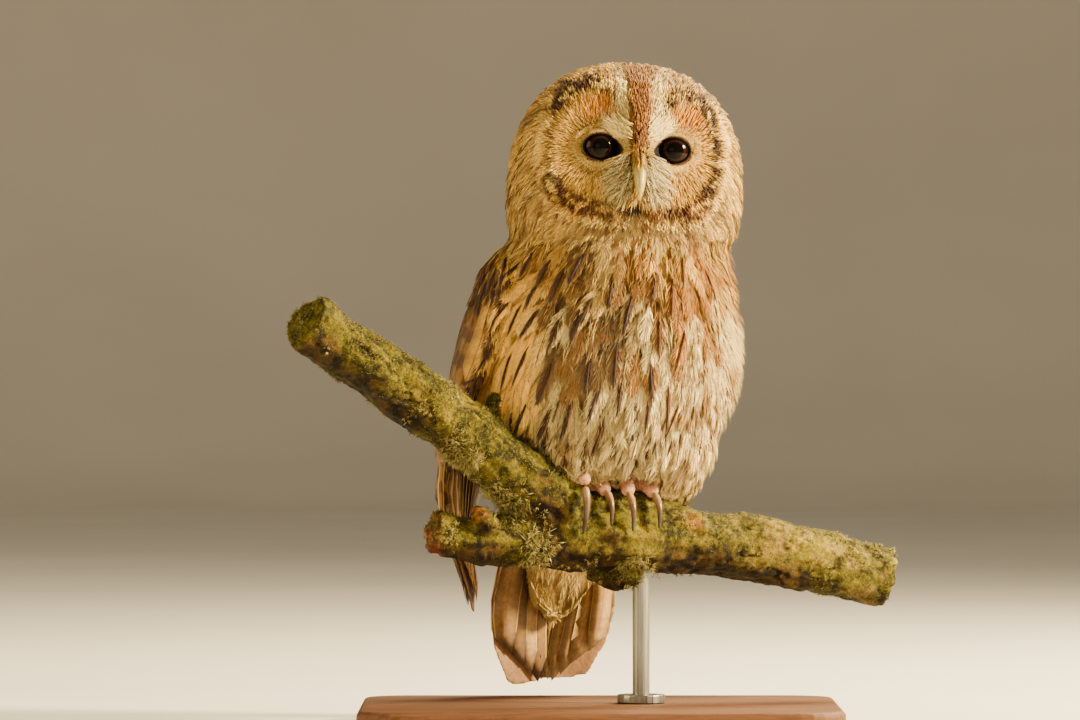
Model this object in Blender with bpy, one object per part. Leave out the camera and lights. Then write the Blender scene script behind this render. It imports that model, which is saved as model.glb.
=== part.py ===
"""A tawny owl at rest on a short cut of branch, as a life-size museum model on a display stand.

Frame: metres, +Z up, origin at the centre of the base's underside. The owl's body is turned
BODY_YAW from -Y, and its head is turned back most of the way, as a perched owl looks aside.
Shapes are worked out in millimetres and scaled by MM where they become meshes. Heights in the
owl's tables are above the crest of the perch, where its feet stand, with x to its left, y
behind it and z up.
"""

import math

import bmesh
import bpy
import numpy as np
from mathutils import Matrix, Vector

MM = 0.001
GAP = 0.3  # between pieces that touch

# Driving dimensions: a grown bird sits about 365 mm from crown to tail tip.
CREST = 138.0  # height of the perch's top under the feet
STANCE_X = 12.0  # the feet's place along the perch
BODY_YAW = math.radians(22.0)
HEAD_YAW = math.radians(7.8)
HEAD_ROLL = math.radians(2.8)
HEAD_PLACE = (0.0, -6.0, 170.0)
NECK_BASE, NECK_TOP = 127.0, 146.0

BASE_WIDTH, BASE_DEPTH, BASE_HEIGHT, BASE_CORNER = 280.0, 210.0, 14.0, 26.0
ROD_PLACE, ROD_RADIUS, ROD_INTO_WOOD = (24.0, 5.0), 5.0, 14.0
COLLAR_RADIUS, COLLAR_HEIGHT = 14.0, 5.0

# Height above the crest, half-width, front, back: from the vent up to the nape.
TRUNK = (
    (7, 40, -16, 54),
    (14, 56, -28, 66),
    (24, 67, -37, 75),
    (40, 76, -46, 84),
    (60, 80.5, -54, 89),
    (80, 81.5, -60, 91),
    (100, 80, -63, 88),
    (118, 76, -63, 82),
    (132, 71, -60, 70),
    (147, 66, -57, 58),
)
# The left flank is held in tighter than the right one: height above the crest, and by how much.
FLANK_IN = (
    (-75, 0),
    (-20, 0),
    (7, 1.5),
    (14, 4),
    (24, 8),
    (40, 10.5),
    (60, 10),
    (80, 10.5),
    (100, 11),
    (118, 8),
    (132, 6.5),
    (147, 4),
)
BODY_SQUARENESS = 2.25
TRUNK_SIDES, TRUNK_RINGS, NECK_RINGS = 32, 10, 2

# The head is an oval about a centre low in the head, flatter in front and fuller behind.
HEAD_HALF_WIDTH, HEAD_FRONT, HEAD_BACK = 68.5, 52.0, 62.0
HEAD_UP, HEAD_DOWN = 79.0, 60.0
HEAD_SQUARENESS = 2.4
HEAD_MIDDLE = 24.0  # rays that set out the head's mesh start this far above its centre
HEAD_SIDES, HEAD_RINGS = 30, 19
EYE_X, EYE_Z, EYE_RADIUS, EYE_CENTRE_Y = 21.6, 28.2, 11.5, -33.0
EYE_SIDES, EYE_RINGS = 14, 7
DISC_HALF_WIDTH, DISC_HALF_HEIGHT, DISC_Z = 51.5, 40.0, 28.0
DISH_DEPTH, RIM_HEIGHT, BROW_HEIGHT, CHIN_HEIGHT = 8.5, 2.5, 4.0, 3.0

# Height above the crest, half-width, middle and half-depth of the oval that the wing lies on,
# front and back edges as angles round it from straight out, and thickness.
WING = (
    (145.5, 66, 8, 53, 5, 54, 5),
    (139, 73, 9, 60, -10, 66, 8.5),
    (122, 81, 12, 70, -20, 80, 10),
    (92, 87, 18, 77, -19, 83, 11),
    (62, 91, 24, 77, -13, 82, 13),
    (32, 95, 34, 73, -4, 74, 15),
    (2, 92, 45, 67, 6, 60, 13),
    (-28, 83, 57, 58, 12, 50, 8),
    (-53, 70, 70, 46, 17, 43, 5),
    (-70, 63, 84, 36, 23, 39, 3.5),
    (-75, 61, 88, 33, 28, 35, 2.5),
)
# The left wing is held further back, under the flank, and its tip is folded in over the tail.
LEFT_WING_BACK, LEFT_WING_TURN, LEFT_WING_IN, LEFT_WING_LIFT = 29.0, 27.0, 34.0, 8.0
FOLD_FROM, FOLD_TO = 110.0, -70.0
WING_ACROSS, WING_RINGS = 8, 12

# Height above the crest, place behind the feet and half-width of the tail.
TAIL = (
    (34, 76, 22),
    (0, 86, 30),
    (-40, 98, 37.5),
    (-70, 107, 40.5),
    (-88, 112, 39),
    (-98, 114.5, 35),
    (-109, 117, 26),
)
TAIL_END = -109.0
TAIL_TIPS = ((-19, 7.0, 11.0), (1.5, 4.0, 10.0), (21, 2.5, 10.0))  # place, drop and half-width
TAIL_ARCH, TAIL_THICKNESS = 7.0, 4.5
TAIL_ACROSS, TAIL_RINGS = 12, 7

# Height above the crest, place behind the feet, half-width and half-thickness.
UNDERTAIL = (
    (12, 56, 20, 8),
    (-2, 68, 30, 14),
    (-22, 77, 29, 13),
    (-45, 88, 24, 9),
    (-64, 97, 16, 5),
    (-75, 102, 7, 2.5),
)
UNDERTAIL_SIDES, UNDERTAIL_RINGS = 12, 8

# Height above the crest, place to the side and half-width of the right leg and of the left one,
# place behind, and half-depth.
LEG = (
    (46, -34, 25, 32, 24, -8, 28),
    (30, -32, 27, 30, 25.5, -5, 31),
    (14, -30, 25, 27.5, 24.5, 0, 28),
    (2, -29, 22, 25.5, 23, 6, 22),
    (-6, -27.5, 18, 24, 21, 8, 17),
    (-11, -27, 12, 20, 15, 9, 11),
)
LEG_SIDES, LEG_RINGS = 14, 7

# The perch: x, y, height and radius along the middle of the wood. The arm rises to the left and
# towards the front, past the owl's flank. The limb runs from its broken end to the right.
ARM = (
    (-168, -108, 236, 16.2),
    (-141, -90, 217, 16.8),
    (-114, -72, 198.5, 17.6),
    (-86, -54, 179, 17.6),
    (-59, -38, 156, 18.6),
    (-31, -22, 136, 20.0),
    (-16, -13, 122, 17.0),
    (-2, -6, 110, 14.0),
)
LIMB = (
    (-97, -43, 115.5, 12.5),
    (-84, -38, 112, 13.2),
    (-66, -30.5, 109.5, 14.8),
    (-45, -22, 111, 17.0),
    (-22, -12, 113.5, 20.5),
    (3, -2.5, 115.8, 23.0),
    (26, 6, 113.8, 22.8),
    (45, 13, 110, 20.6),
    (66, 21, 106.6, 19.0),
    (94, 32, 102.8, 19.2),
    (130, 46, 95.5, 18.2),
    (168, 61, 85.5, 17.8),
)
BARK_SIDES = 12
BARK_STEP = 15.0  # distance between the wood's rings
BURR = ((-4, 14, 96, 10), (8, 8, 92, 12), (24, 2, 92, 9))  # the lump under the fork
SPUR = ((-62, -34, 114, 7.4), (-67, -43, 121, 6.6), (-71, -48, 127, 5.8))  # a sawn side shoot
TWIG = ((-58, -41, 166, 7.0), (-63, -44, 184, 4.2), (-60, -45, 196, 3.0))  # a short snag

# Digits of a foot: place along the perch from the foot's middle, whether it points forward,
# where it starts and ends round the wood in degrees (90 is the crest, 0 the front), and length
# of its claw in degrees.
DIGITS = (
    (8.4, True, 104, 53, 44),
    (-8.6, True, 104, 49, 47),
    (-8.5, False, 84, 132, 42),
    (6.0, False, 84, 126, 38),
)
FOOT_PLACES = (("right", -24.3), ("left", 5.7))
TOE_RADIUS, TOE_TIP_RADIUS, CLAW_RADIUS, CLAW_TIP = 4.9, 4.3, 2.5, 0.35
TOE_SIDES, CLAW_SIDES, DIGIT_RINGS = 6, 6, 6
CLAW_OFF = 2.6  # degrees between a toe's end and its claw
GRIP_ARC, GRIP_HALF_WIDTH, GRIP_FLATNESS = (28, 52, 76, 100, 124, 150), 15.6, 0.74

FEATHER_BUFF = (0.46, 0.30, 0.14)
FEATHER_CREAM = (0.62, 0.50, 0.33)
FEATHER_BROWN = (0.22, 0.12, 0.06)
SKIN_PINK = (0.45, 0.25, 0.20)
CLAW_HORN = (0.10, 0.07, 0.05)
BILL_HORN = (0.60, 0.52, 0.24)
EYE_BLACK = (0.012, 0.007, 0.005)
BARK_GREEN = (0.16, 0.17, 0.06)
BASE_WALNUT = (0.14, 0.07, 0.035)
ROD_STEEL = (0.35, 0.34, 0.33)

OWL = Matrix.Translation((STANCE_X, 0, CREST)) @ Matrix.Rotation(BODY_YAW, 4, "Z")
HEAD = (
    Matrix.Translation(OWL @ Vector(HEAD_PLACE))
    @ Matrix.Rotation(HEAD_YAW, 4, "Z")
    @ Matrix.Rotation(HEAD_ROLL, 4, "Y")
)


# Tools

def clear_scene():
    for leftover in list(bpy.data.objects):
        bpy.data.objects.remove(leftover)


def material(name, colour, roughness, metallic=0.0):
    made = bpy.data.materials.get(name) or bpy.data.materials.new(name)
    made.use_nodes = True
    shader = made.node_tree.nodes["Principled BSDF"]
    shader.inputs["Base Color"].default_value = (*colour, 1.0)
    shader.inputs["Roughness"].default_value = roughness
    shader.inputs["Metallic"].default_value = metallic
    return made


def add_object(name, points, faces, finish):
    """An object from points in millimetres, in the part's frame."""
    mesh = bpy.data.meshes.new(name)
    mesh.from_pydata([Vector(p) * MM for p in points], [], faces)
    shaped = bmesh.new()
    shaped.from_mesh(mesh)
    bmesh.ops.recalc_face_normals(shaped, faces=shaped.faces)
    shaped.to_mesh(mesh)
    shaped.free()
    mesh.shade_smooth()
    mesh.materials.append(finish)
    made = bpy.data.objects.new(name, mesh)
    bpy.context.scene.collection.objects.link(made)
    return made


def as_helper(obj):
    """Keeps a cutter, or a shape that a Boolean joins, out of the finished part."""
    obj.hide_render = True
    obj.display_type = "WIRE"
    return obj


def combine(obj, other, operation):
    modifier = obj.modifiers.new(f"{operation.lower()} {other.name}", "BOOLEAN")
    modifier.operation = operation
    modifier.solver = "EXACT"
    modifier.object = other


def carve(obj, *cutters):
    for cutter in cutters:
        combine(obj, cutter, "DIFFERENCE")


def join(obj, *others):
    for other in others:
        combine(obj, other, "UNION")


def along(table, at):
    """The columns of a table at a height, on a smooth curve through its rows."""
    rows = np.array(table, float)
    rows = rows[rows[:, 0].argsort()]
    heights, columns = rows[:, 0], rows[:, 1:]
    at = min(max(at, heights[0]), heights[-1])
    slopes = np.gradient(columns, heights, axis=0)
    low = min(int(np.searchsorted(heights, at, side="right")) - 1, len(heights) - 2)
    width = heights[low + 1] - heights[low]
    t = (at - heights[low]) / width
    return (
        columns[low] * (2 * t**3 - 3 * t**2 + 1)
        + columns[low + 1] * (3 * t**2 - 2 * t**3)
        + slopes[low] * width * (t**3 - 2 * t**2 + t)
        + slopes[low + 1] * width * (t**3 - t**2)
    )


def through(points, step):
    """Points about `step` apart on a smooth curve through points of any number of values."""
    given = np.array(points, float)
    lengths = np.linalg.norm(np.diff(given[:, :3], axis=0), axis=1)
    table = np.column_stack([np.concatenate([[0], np.cumsum(lengths)]), given])
    count = max(2, round(table[-1, 0] / step))
    return np.array([along(table, at) for at in np.linspace(0, table[-1, 0], count + 1)])


def power(value, exponent):
    return math.copysign(abs(value) ** exponent, value)


def oval(sides, half_width, half_depth, squareness=2.0):
    """The points of a rounded oval about the origin."""
    for side in range(sides):
        angle = math.tau * side / sides
        yield (
            half_width * power(math.cos(angle), 2 / squareness),
            half_depth * power(math.sin(angle), 2 / squareness),
        )


def loft(rings):
    """Points and triangles of the closed skin over rings of equal length, with fans as ends.
    A shape and its room split their quads alike, which keeps the gap between them even."""
    sides = len(rings[0])
    points = [p for ring in rings for p in ring]
    faces = []
    for ring in range(len(rings) - 1):
        for side in range(sides):
            after = (side + 1) % sides
            a, b = ring * sides + side, ring * sides + after
            faces += [(a, b, b + sides), (a, b + sides, a + sides)]
    for first, ring in ((0, rings[0]), (len(points) - sides, rings[-1])):
        points.append(sum((Vector(p) for p in ring), Vector()) / sides)
        hub = len(points) - 1
        faces += [(first + s, first + (s + 1) % sides, hub) for s in range(sides)]
    return points, faces


def tube(path, radii, sides, across=None, flatness=1.0):
    """A loft of round rings along a path. `across` fixes the rings' first axis, and otherwise it
    is carried along. `flatness` is the rings' thickness over their width."""
    path = [Vector(p) for p in path]
    rings = []
    side_way = Vector(across) if across else Vector((0, 1, 0))
    for i, place in enumerate(path):
        ahead = (path[min(i + 1, len(path) - 1)] - path[max(i - 1, 0)]).normalized()
        side_way = (side_way - ahead * side_way.dot(ahead)).normalized()
        other_way = ahead.cross(side_way)
        rings.append(
            [
                place + side_way * u + other_way * v
                for u, v in oval(sides, radii[i], radii[i] * flatness)
            ]
        )
    return loft(rings)


def placed(frame, shape):
    points, faces = shape
    return [frame @ Vector(p) for p in points], faces


# Trunk and neck

def body_ring(height, grow=0.0):
    half_width, front, back = along(TRUNK, height)
    left_share = 1 - along(FLANK_IN, height)[0] / half_width
    middle = (front + back) / 2
    for x, y in oval(
        TRUNK_SIDES, half_width + grow, (back - front) / 2 + grow, BODY_SQUARENESS
    ):
        yield Vector((x * left_share if x > 0 else x, middle + y, height))


def body_length(low, high, rings, grow=0.0):
    heights = [low + (high - low) * i / rings for i in range(rings + 1)]
    made = [list(body_ring(height, grow)) for height in heights]
    made[0] = [p - Vector((0, 0, grow)) for p in made[0]]
    return placed(OWL, loft(made))


def trunk():
    return add_object(
        "trunk",
        *body_length(TRUNK[0][0], NECK_BASE, TRUNK_RINGS),
        material("breast", FEATHER_CREAM, 0.9),
    )


def neck():
    return add_object(
        "neck",
        *body_length(NECK_BASE + GAP, NECK_TOP, NECK_RINGS),
        material("breast", FEATHER_CREAM, 0.9),
    )


# Head

def inside_head(x, y, z):
    """Under 1 inside the head's oval, and 1 on it."""
    depth = HEAD_FRONT if y < 0 else HEAD_BACK
    height = HEAD_UP if z > 0 else HEAD_DOWN
    return (
        abs(x / HEAD_HALF_WIDTH) ** HEAD_SQUARENESS
        + abs(y / depth) ** HEAD_SQUARENESS
        + abs(z / height) ** HEAD_SQUARENESS
    )


def reach(direction):
    """How far a ray from the head's middle goes before it meets the oval."""
    near, far = 0.0, 150.0
    for _ in range(30):
        half = (near + far) / 2
        x, y, z = direction * half
        if inside_head(x, y, z + HEAD_MIDDLE) < 1:
            near = half
        else:
            far = half
    return near


def bell(value, width):
    return math.exp(-((value / width) ** 2))


def face_relief(x, z):
    """How far the face lies behind the oval: two dishes round the eyes, the rim of stiff
    feathers that edges them, the ridge between the brows, and the bristly mound of the bill."""
    rim = math.hypot(x / DISC_HALF_WIDTH, (z - DISC_Z) / DISC_HALF_HEIGHT)
    dish = max(0.0, 1 - math.hypot((abs(x) - EYE_X - 3) / 32, (z - EYE_Z) / 36) ** 2)
    brow = bell(x, 7.0) * bell(z - EYE_Z - 14, 24.0)
    chin = bell(x, 15.0) * bell(z - 8, 15.0)
    return (
        DISH_DEPTH * dish**0.8
        - RIM_HEIGHT * bell(rim - 1, 0.13)
        - BROW_HEIGHT * brow
        - CHIN_HEIGHT * chin
    )


def head_shape():
    rings = []
    for ring in range(1, HEAD_RINGS):
        share = ring / HEAD_RINGS
        slant = math.pi * (share - 0.18 * math.sin(math.tau * share) / math.tau)
        circle = []
        for side in range(HEAD_SIDES):
            turn = math.tau * side / HEAD_SIDES
            direction = Vector(
                (
                    math.sin(slant) * math.cos(turn),
                    -math.cos(slant),
                    math.sin(slant) * math.sin(turn),
                )
            )
            x, y, z = direction * reach(direction) + Vector((0, 0, HEAD_MIDDLE))
            facing = min(1.0, max(0.0, (-y - 6.0) / 20.0))
            circle.append(Vector((x, y + facing * face_relief(x, z), z)))
        rings.append(circle)
    return placed(HEAD, loft(rings))


def eye_ball(side, grow=0.0):
    """An eyeball as rings round the line of sight."""
    rings = []
    radius = EYE_RADIUS + grow
    for ring in range(1, EYE_RINGS):
        slant = math.pi * ring / EYE_RINGS
        rings.append(
            [
                Vector((u + side * EYE_X, EYE_CENTRE_Y - radius * math.cos(slant), v + EYE_Z))
                for u, v in oval(EYE_SIDES, radius * math.sin(slant), radius * math.sin(slant))
            ]
        )
    return placed(HEAD, loft(rings))


def bill_shape(path, radii, grow=0.0):
    fine = through([(0, y, z, r) for (y, z), r in zip(path, radii)], 3.0)
    return placed(
        HEAD,
        tube(fine[:, :3], fine[:, 3] + grow, 10, across=(1, 0, 0), flatness=1.25),
    )


UPPER_BILL = ((-40, 24), (-49, 19.5), (-55.5, 12), (-58.5, 5), (-57.8, -2.0))
UPPER_BILL_RADII = (4.2, 4.6, 3.9, 2.7, 0.6)
LOWER_BILL = ((-40, 13), (-46, 8.0), (-51.5, 3), (-53.6, 0.5))
LOWER_BILL_RADII = (3.2, 3.2, 2.3, 1.0)


def neck_cut():
    """A slab that takes the head off level, just above the neck."""
    wide, low, high = 120.0, NECK_TOP - 120.0, NECK_TOP + GAP
    corners = [(x, y, z) for x in (-wide, wide) for y in (-wide, wide) for z in (low, high)]
    faces = [(0, 1, 3, 2), (4, 6, 7, 5), (0, 4, 5, 1), (2, 3, 7, 6), (0, 2, 6, 4), (1, 5, 7, 3)]
    points = [OWL @ Vector(c) for c in corners]
    return as_helper(add_object("neck_cut", points, faces, material("cut", EYE_BLACK, 1.0)))


def head_and_face():
    feathers = material("face", FEATHER_BUFF, 0.9)
    horn = material("bill", BILL_HORN, 0.45)
    eye_black = material("eye", EYE_BLACK, 0.05)
    head = add_object("head", *head_shape(), feathers)
    cutters = [neck_cut()]
    for name, side in (("right", -1), ("left", 1)):
        add_object(f"eye_{name}", *eye_ball(side), eye_black)
        socket = add_object(f"socket_{name}", *eye_ball(side, 1.6 * GAP), feathers)
        cutters.append(as_helper(socket))
    upper = add_object("bill_upper", *bill_shape(UPPER_BILL, UPPER_BILL_RADII), horn)
    upper_room = bill_shape(UPPER_BILL, UPPER_BILL_RADII, 1.4 * GAP)
    cutters.append(as_helper(add_object("bill_room", *upper_room, horn)))
    lower = add_object("bill_lower", *bill_shape(LOWER_BILL, LOWER_BILL_RADII), horn)
    lower_room = bill_shape(LOWER_BILL, LOWER_BILL_RADII, 1.4 * GAP)
    cutters.append(as_helper(add_object("lower_bill_room", *lower_room, horn)))
    carve(lower, bpy.data.objects["bill_room"])
    carve(head, *cutters)
    return head, upper, lower


# Wings

def wing_ring(height, mirror, grow=0.0):
    """The wing's section: its outer face from front to back, then its inner face."""
    half_width, middle, half_depth, front, back, thick = along(WING, height)
    if mirror > 0:
        share = min(1.0, max(0.0, (FOLD_FROM - height) / (FOLD_FROM - FOLD_TO)))
        fold = share * share * (3 - 2 * share)
        half_width -= LEFT_WING_IN * fold + along(FLANK_IN, height)[0]
        middle += LEFT_WING_LIFT * fold
        front += LEFT_WING_BACK
        back += LEFT_WING_TURN * fold
    outer, inner = [], []
    for step in range(WING_ACROSS + 1):
        share = step / WING_ACROSS
        angle = math.radians(front + (back - front) * share)
        belly = 0.22 + 0.78 * math.sin(math.pi * share) ** 0.5
        depth = thick * belly + grow
        for ring, out in ((outer, grow), (inner, -depth)):
            ring.append(
                Vector(
                    (
                        mirror * (half_width + out) * math.cos(angle),
                        middle + (half_depth + out) * math.sin(angle),
                        height,
                    )
                )
            )
    return outer + inner[::-1]


def wing(name, mirror):
    low, high = WING[-1][0], WING[0][0]
    heights = [low + (high - low) * i / WING_RINGS for i in range(WING_RINGS + 1)]
    shape = placed(OWL, loft([wing_ring(height, mirror) for height in heights]))
    return add_object(name, *shape, material("wing", FEATHER_BROWN, 0.85))


# Tail

def tail_drop(x):
    """How far the feather tips reach below the tail's square end."""
    return max(
        [0.0]
        + [
            drop + 3.0 - 3.0 * ((x - place) / half) ** 2
            for place, drop, half in TAIL_TIPS
            if abs(x - place) < half
        ]
    )


def tail_ring(height, share, grow=0.0):
    """The tail's section, arched across its width. The lowest rings lean down to the tips."""
    behind, half_width = along(TAIL, height)
    outer, inner = [], []
    thick = TAIL_THICKNESS * (1 - 0.45 * share) / 2 + grow
    for step in range(TAIL_ACROSS + 1):
        place = -1 + 2 * step / TAIL_ACROSS
        x = place * (half_width + grow)
        arch = TAIL_ARCH * (1 - place**2)
        drop = tail_drop(x) * share**8 if share > 0.5 else 0.0
        for ring, out in ((outer, thick), (inner, -thick)):
            ring.append(Vector((x, behind + arch - TAIL_ARCH / 2 + out, height - drop)))
    return outer + inner[::-1]


def tail_shape(grow=0.0):
    top = TAIL[0][0]
    shares = [(i / TAIL_RINGS) ** 0.8 for i in range(TAIL_RINGS + 1)]
    return placed(OWL, loft([tail_ring(top + (TAIL_END - top) * s, s, grow) for s in shares]))


def undertail_shape(grow=0.0):
    low, high = UNDERTAIL[-1][0], UNDERTAIL[0][0]
    rings = []
    for i in range(UNDERTAIL_RINGS):
        height = high + (low - high) * i / (UNDERTAIL_RINGS - 1)
        behind, half_width, half_thick = along(UNDERTAIL, height)
        rings.append(
            [
                Vector((x, behind + y, height))
                for x, y in oval(UNDERTAIL_SIDES, half_width + grow, half_thick + grow)
            ]
        )
    return placed(OWL, loft(rings))


# Perch

def bark_radius(place, radius, side):
    """The wood is never quite round: slow swellings wind along it."""
    turn = math.tau * side / BARK_SIDES
    swell = math.sin(place / 19 + 2 * turn) + 0.7 * math.sin(place / 11 - 3 * turn + 1)
    return radius * (1 + 0.045 * swell)


def wood(points, grow=0.0):
    """A length of branch as rings round its path."""
    fine = through(points, BARK_STEP)
    path = [Vector(row[:3]) for row in fine]
    rings = []
    side_way = Vector((0, 1, 0))
    for i, place in enumerate(path):
        ahead = (path[min(i + 1, len(path) - 1)] - path[max(i - 1, 0)]).normalized()
        side_way = (side_way - ahead * side_way.dot(ahead)).normalized()
        other_way = ahead.cross(side_way)
        ring = []
        for side in range(BARK_SIDES):
            turn = math.tau * side / BARK_SIDES
            radius = bark_radius(i * BARK_STEP, fine[i, 3], side) + grow
            ring.append(place + (side_way * math.cos(turn) + other_way * math.sin(turn)) * radius)
        rings.append(ring)
    return loft(rings)


def perch():
    bark = material("bark", BARK_GREEN, 0.95)
    limb = add_object("perch_limb", *wood(LIMB), bark)
    burr = through(BURR, 6.0)
    lump = add_object("perch_burr", *tube(burr[:, :3], burr[:, 3], 10), bark)
    spur = through(SPUR, 6.0)
    shoot = add_object("perch_spur", *tube(spur[:, :3], spur[:, 3], 10), bark)
    join(limb, as_helper(lump), as_helper(shoot))
    arm = add_object("perch_arm", *wood(ARM), bark)
    twig = through(TWIG, 7.0)
    snag = add_object("perch_twig", *tube(twig[:, :3], twig[:, 3], 8), bark)
    join(arm, as_helper(snag))
    limb_room = as_helper(add_object("limb_room", *wood(LIMB, 1.5 * GAP), bark))
    lump_room = tube(burr[:, :3], burr[:, 3] + 1.5 * GAP, 10)
    carve(arm, limb_room, as_helper(add_object("burr_room", *lump_room, bark)))
    arm_room = as_helper(add_object("arm_room", *wood(ARM, 1.5 * GAP), bark))
    twig_room = tube(twig[:, :3], twig[:, 3] + 1.5 * GAP, 8)
    return limb, arm, limb_room, arm_room, as_helper(add_object("twig_room", *twig_room, bark))


# Legs, feet and claws

def limb_under(x):
    """The middle of the wood and its radius below a place along the perch."""
    rows = [(row[0], *row[1:]) for row in LIMB]
    behind, height, radius = along(rows, x)
    return Vector((x, behind, height)), radius


def round_wood(place_along, degrees, lift):
    """A point beside the wood at an angle round it, in the plane that the foot grips in."""
    start = OWL @ Vector((place_along, 0, 0))
    middle, radius = limb_under(start.x)
    forward = (OWL.to_3x3() @ Vector((0, -1, 0))).normalized()
    angle = math.radians(degrees)
    reach_out = radius + lift
    return middle + forward * reach_out * math.cos(angle) + Vector((0, 0, 1)) * reach_out * math.sin(angle)


def on_wood(place_along, degrees, lift):
    """A point beside the wood, moved further out where it would be inside the arm."""
    start = OWL @ Vector((place_along, 0, 0))
    point = round_wood(place_along, degrees, lift)
    out = (point - limb_under(start.x)[0]).normalized()
    arm = [Vector(row) for row in through(ARM, 2.0)]
    while min((point - row.to_3d()).length - row.w for row in arm) < lift:
        point = point + out * 0.4
    return point


def toe_path(foot_x, digit):
    spread, forward, start, end, _ = digit
    points = []
    for i in range(DIGIT_RINGS):
        share = i / (DIGIT_RINGS - 1)
        place = foot_x + spread * (0.35 + 0.65 * share)
        knuckle = 1.2 * math.sin(math.pi * share * 2) if share > 0.5 else 0.0
        lift = TOE_RADIUS + 0.6 - knuckle
        grip = on_wood if forward else round_wood
        points.append(grip(place, start + (end - start) * share, lift))
    return points


def claw_path(foot_x, digit):
    spread, forward, start, end, length = digit
    way = math.copysign(1, end - start)
    points = []
    for i in range(DIGIT_RINGS):
        share = i / (DIGIT_RINGS - 1)
        arch = 2.4 * math.sin(math.pi * min(1, share * 1.15)) - 3.4 * share
        angle = end + way * (length * share + CLAW_OFF)
        lift = TOE_RADIUS + 0.4 + arch
        grip = on_wood if forward else round_wood
        points.append(grip(foot_x + spread, angle, lift))
    return points


def taper(start, end, curve=1.0):
    shares = [(i / (DIGIT_RINGS - 1)) ** curve for i in range(DIGIT_RINGS)]
    return [start + (end - start) * share for share in shares]


def foot(name, foot_x, rooms):
    """The ball of the foot and its four toes, shaped to the wood. Returns the foot's room."""
    pink = material("toes", SKIN_PINK, 0.6)
    horn = material("claws", CLAW_HORN, 0.35)
    across = OWL.to_3x3() @ Vector((1, 0, 0))
    ball_path = [round_wood(foot_x, angle, TOE_RADIUS + 1.0) for angle in (108, 100, 90, 80)]
    ball_radii = (4.0, 7.0, 7.0, 4.0)
    whole = add_object(f"foot_{name}", *tube(ball_path, ball_radii, 8, across), pink)
    arc = [round_wood(foot_x, angle, 4.0) for angle in GRIP_ARC]
    grip = tube(arc, [GRIP_HALF_WIDTH] * len(arc), 12, across, GRIP_FLATNESS)
    room = as_helper(add_object(f"foot_room_{name}", *grip, pink))
    for number, digit in enumerate(DIGITS, 1):
        path = toe_path(foot_x, digit)
        shape = tube(path, taper(TOE_RADIUS, TOE_TIP_RADIUS), TOE_SIDES, across)
        toe = as_helper(add_object(f"toe_{name}_{number}", *shape, pink))
        join(whole, toe)
        wide = tube(path, taper(TOE_RADIUS + 1.2, TOE_TIP_RADIUS + 1.2), 8, across)
        join(room, as_helper(add_object(f"toe_room_{name}_{number}", *wide, pink)))
        curve = claw_path(foot_x, digit)
        claw = tube(curve, taper(CLAW_RADIUS, CLAW_TIP, 1.2), CLAW_SIDES, across, 1.25)
        carve(add_object(f"claw_{name}_{number}", *claw, horn), *rooms)
    carve(whole, *rooms)
    return room


def leg_shape(mirror, grow=0.0):
    rings = []
    low, high = LEG[-1][0], LEG[0][0]
    for i in range(LEG_RINGS):
        height = low + (high - low) * i / (LEG_RINGS - 1)
        right, right_half, left, left_half, behind, half_depth = along(LEG, height)
        side, half_width = (right, right_half) if mirror < 0 else (left, left_half)
        rings.append(
            [
                Vector((side + x, behind + y, height))
                for x, y in oval(LEG_SIDES, half_width + grow, half_depth + grow)
            ]
        )
    return placed(OWL, loft(rings))


# Stand

def plate(name, outline, low, high, finish):
    return add_object(name, *loft([[(x, y, z) for x, y in outline] for z in (low, high)]), finish)


def base_outline():
    """A rectangle with round corners."""
    points = []
    for corner_x, corner_y, start in ((1, 1, 0), (-1, 1, 90), (-1, -1, 180), (1, -1, 270)):
        for step in range(7):
            angle = math.radians(start + 15 * step)
            points.append(
                (
                    corner_x * (BASE_WIDTH / 2 - BASE_CORNER) + BASE_CORNER * math.cos(angle),
                    corner_y * (BASE_DEPTH / 2 - BASE_CORNER) + BASE_CORNER * math.sin(angle),
                )
            )
    return points


def stand(limb):
    steel = material("rod", ROD_STEEL, 0.35, 1.0)
    base = plate("stand_base", base_outline(), 0, BASE_HEIGHT, material("base", BASE_WALNUT, 0.4))
    bevel = base.modifiers.new("edge", "BEVEL")
    bevel.width = 2.0 * MM
    bevel.limit_method = "ANGLE"
    middle, radius = limb_under(ROD_PLACE[0])
    top = middle.z - radius + ROD_INTO_WOOD

    def ring(outer):
        return [(x + ROD_PLACE[0], y + ROD_PLACE[1]) for x, y in oval(24, outer, outer)]

    low = BASE_HEIGHT + GAP
    plate("stand_rod", ring(ROD_RADIUS), low, top, steel)
    hole = plate("rod_hole", ring(ROD_RADIUS + GAP), low - 5, top + GAP, steel)
    carve(limb, as_helper(hole))
    collar = plate("stand_collar", ring(COLLAR_RADIUS), low, low + COLLAR_HEIGHT, steel)
    carve(collar, hole)


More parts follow.
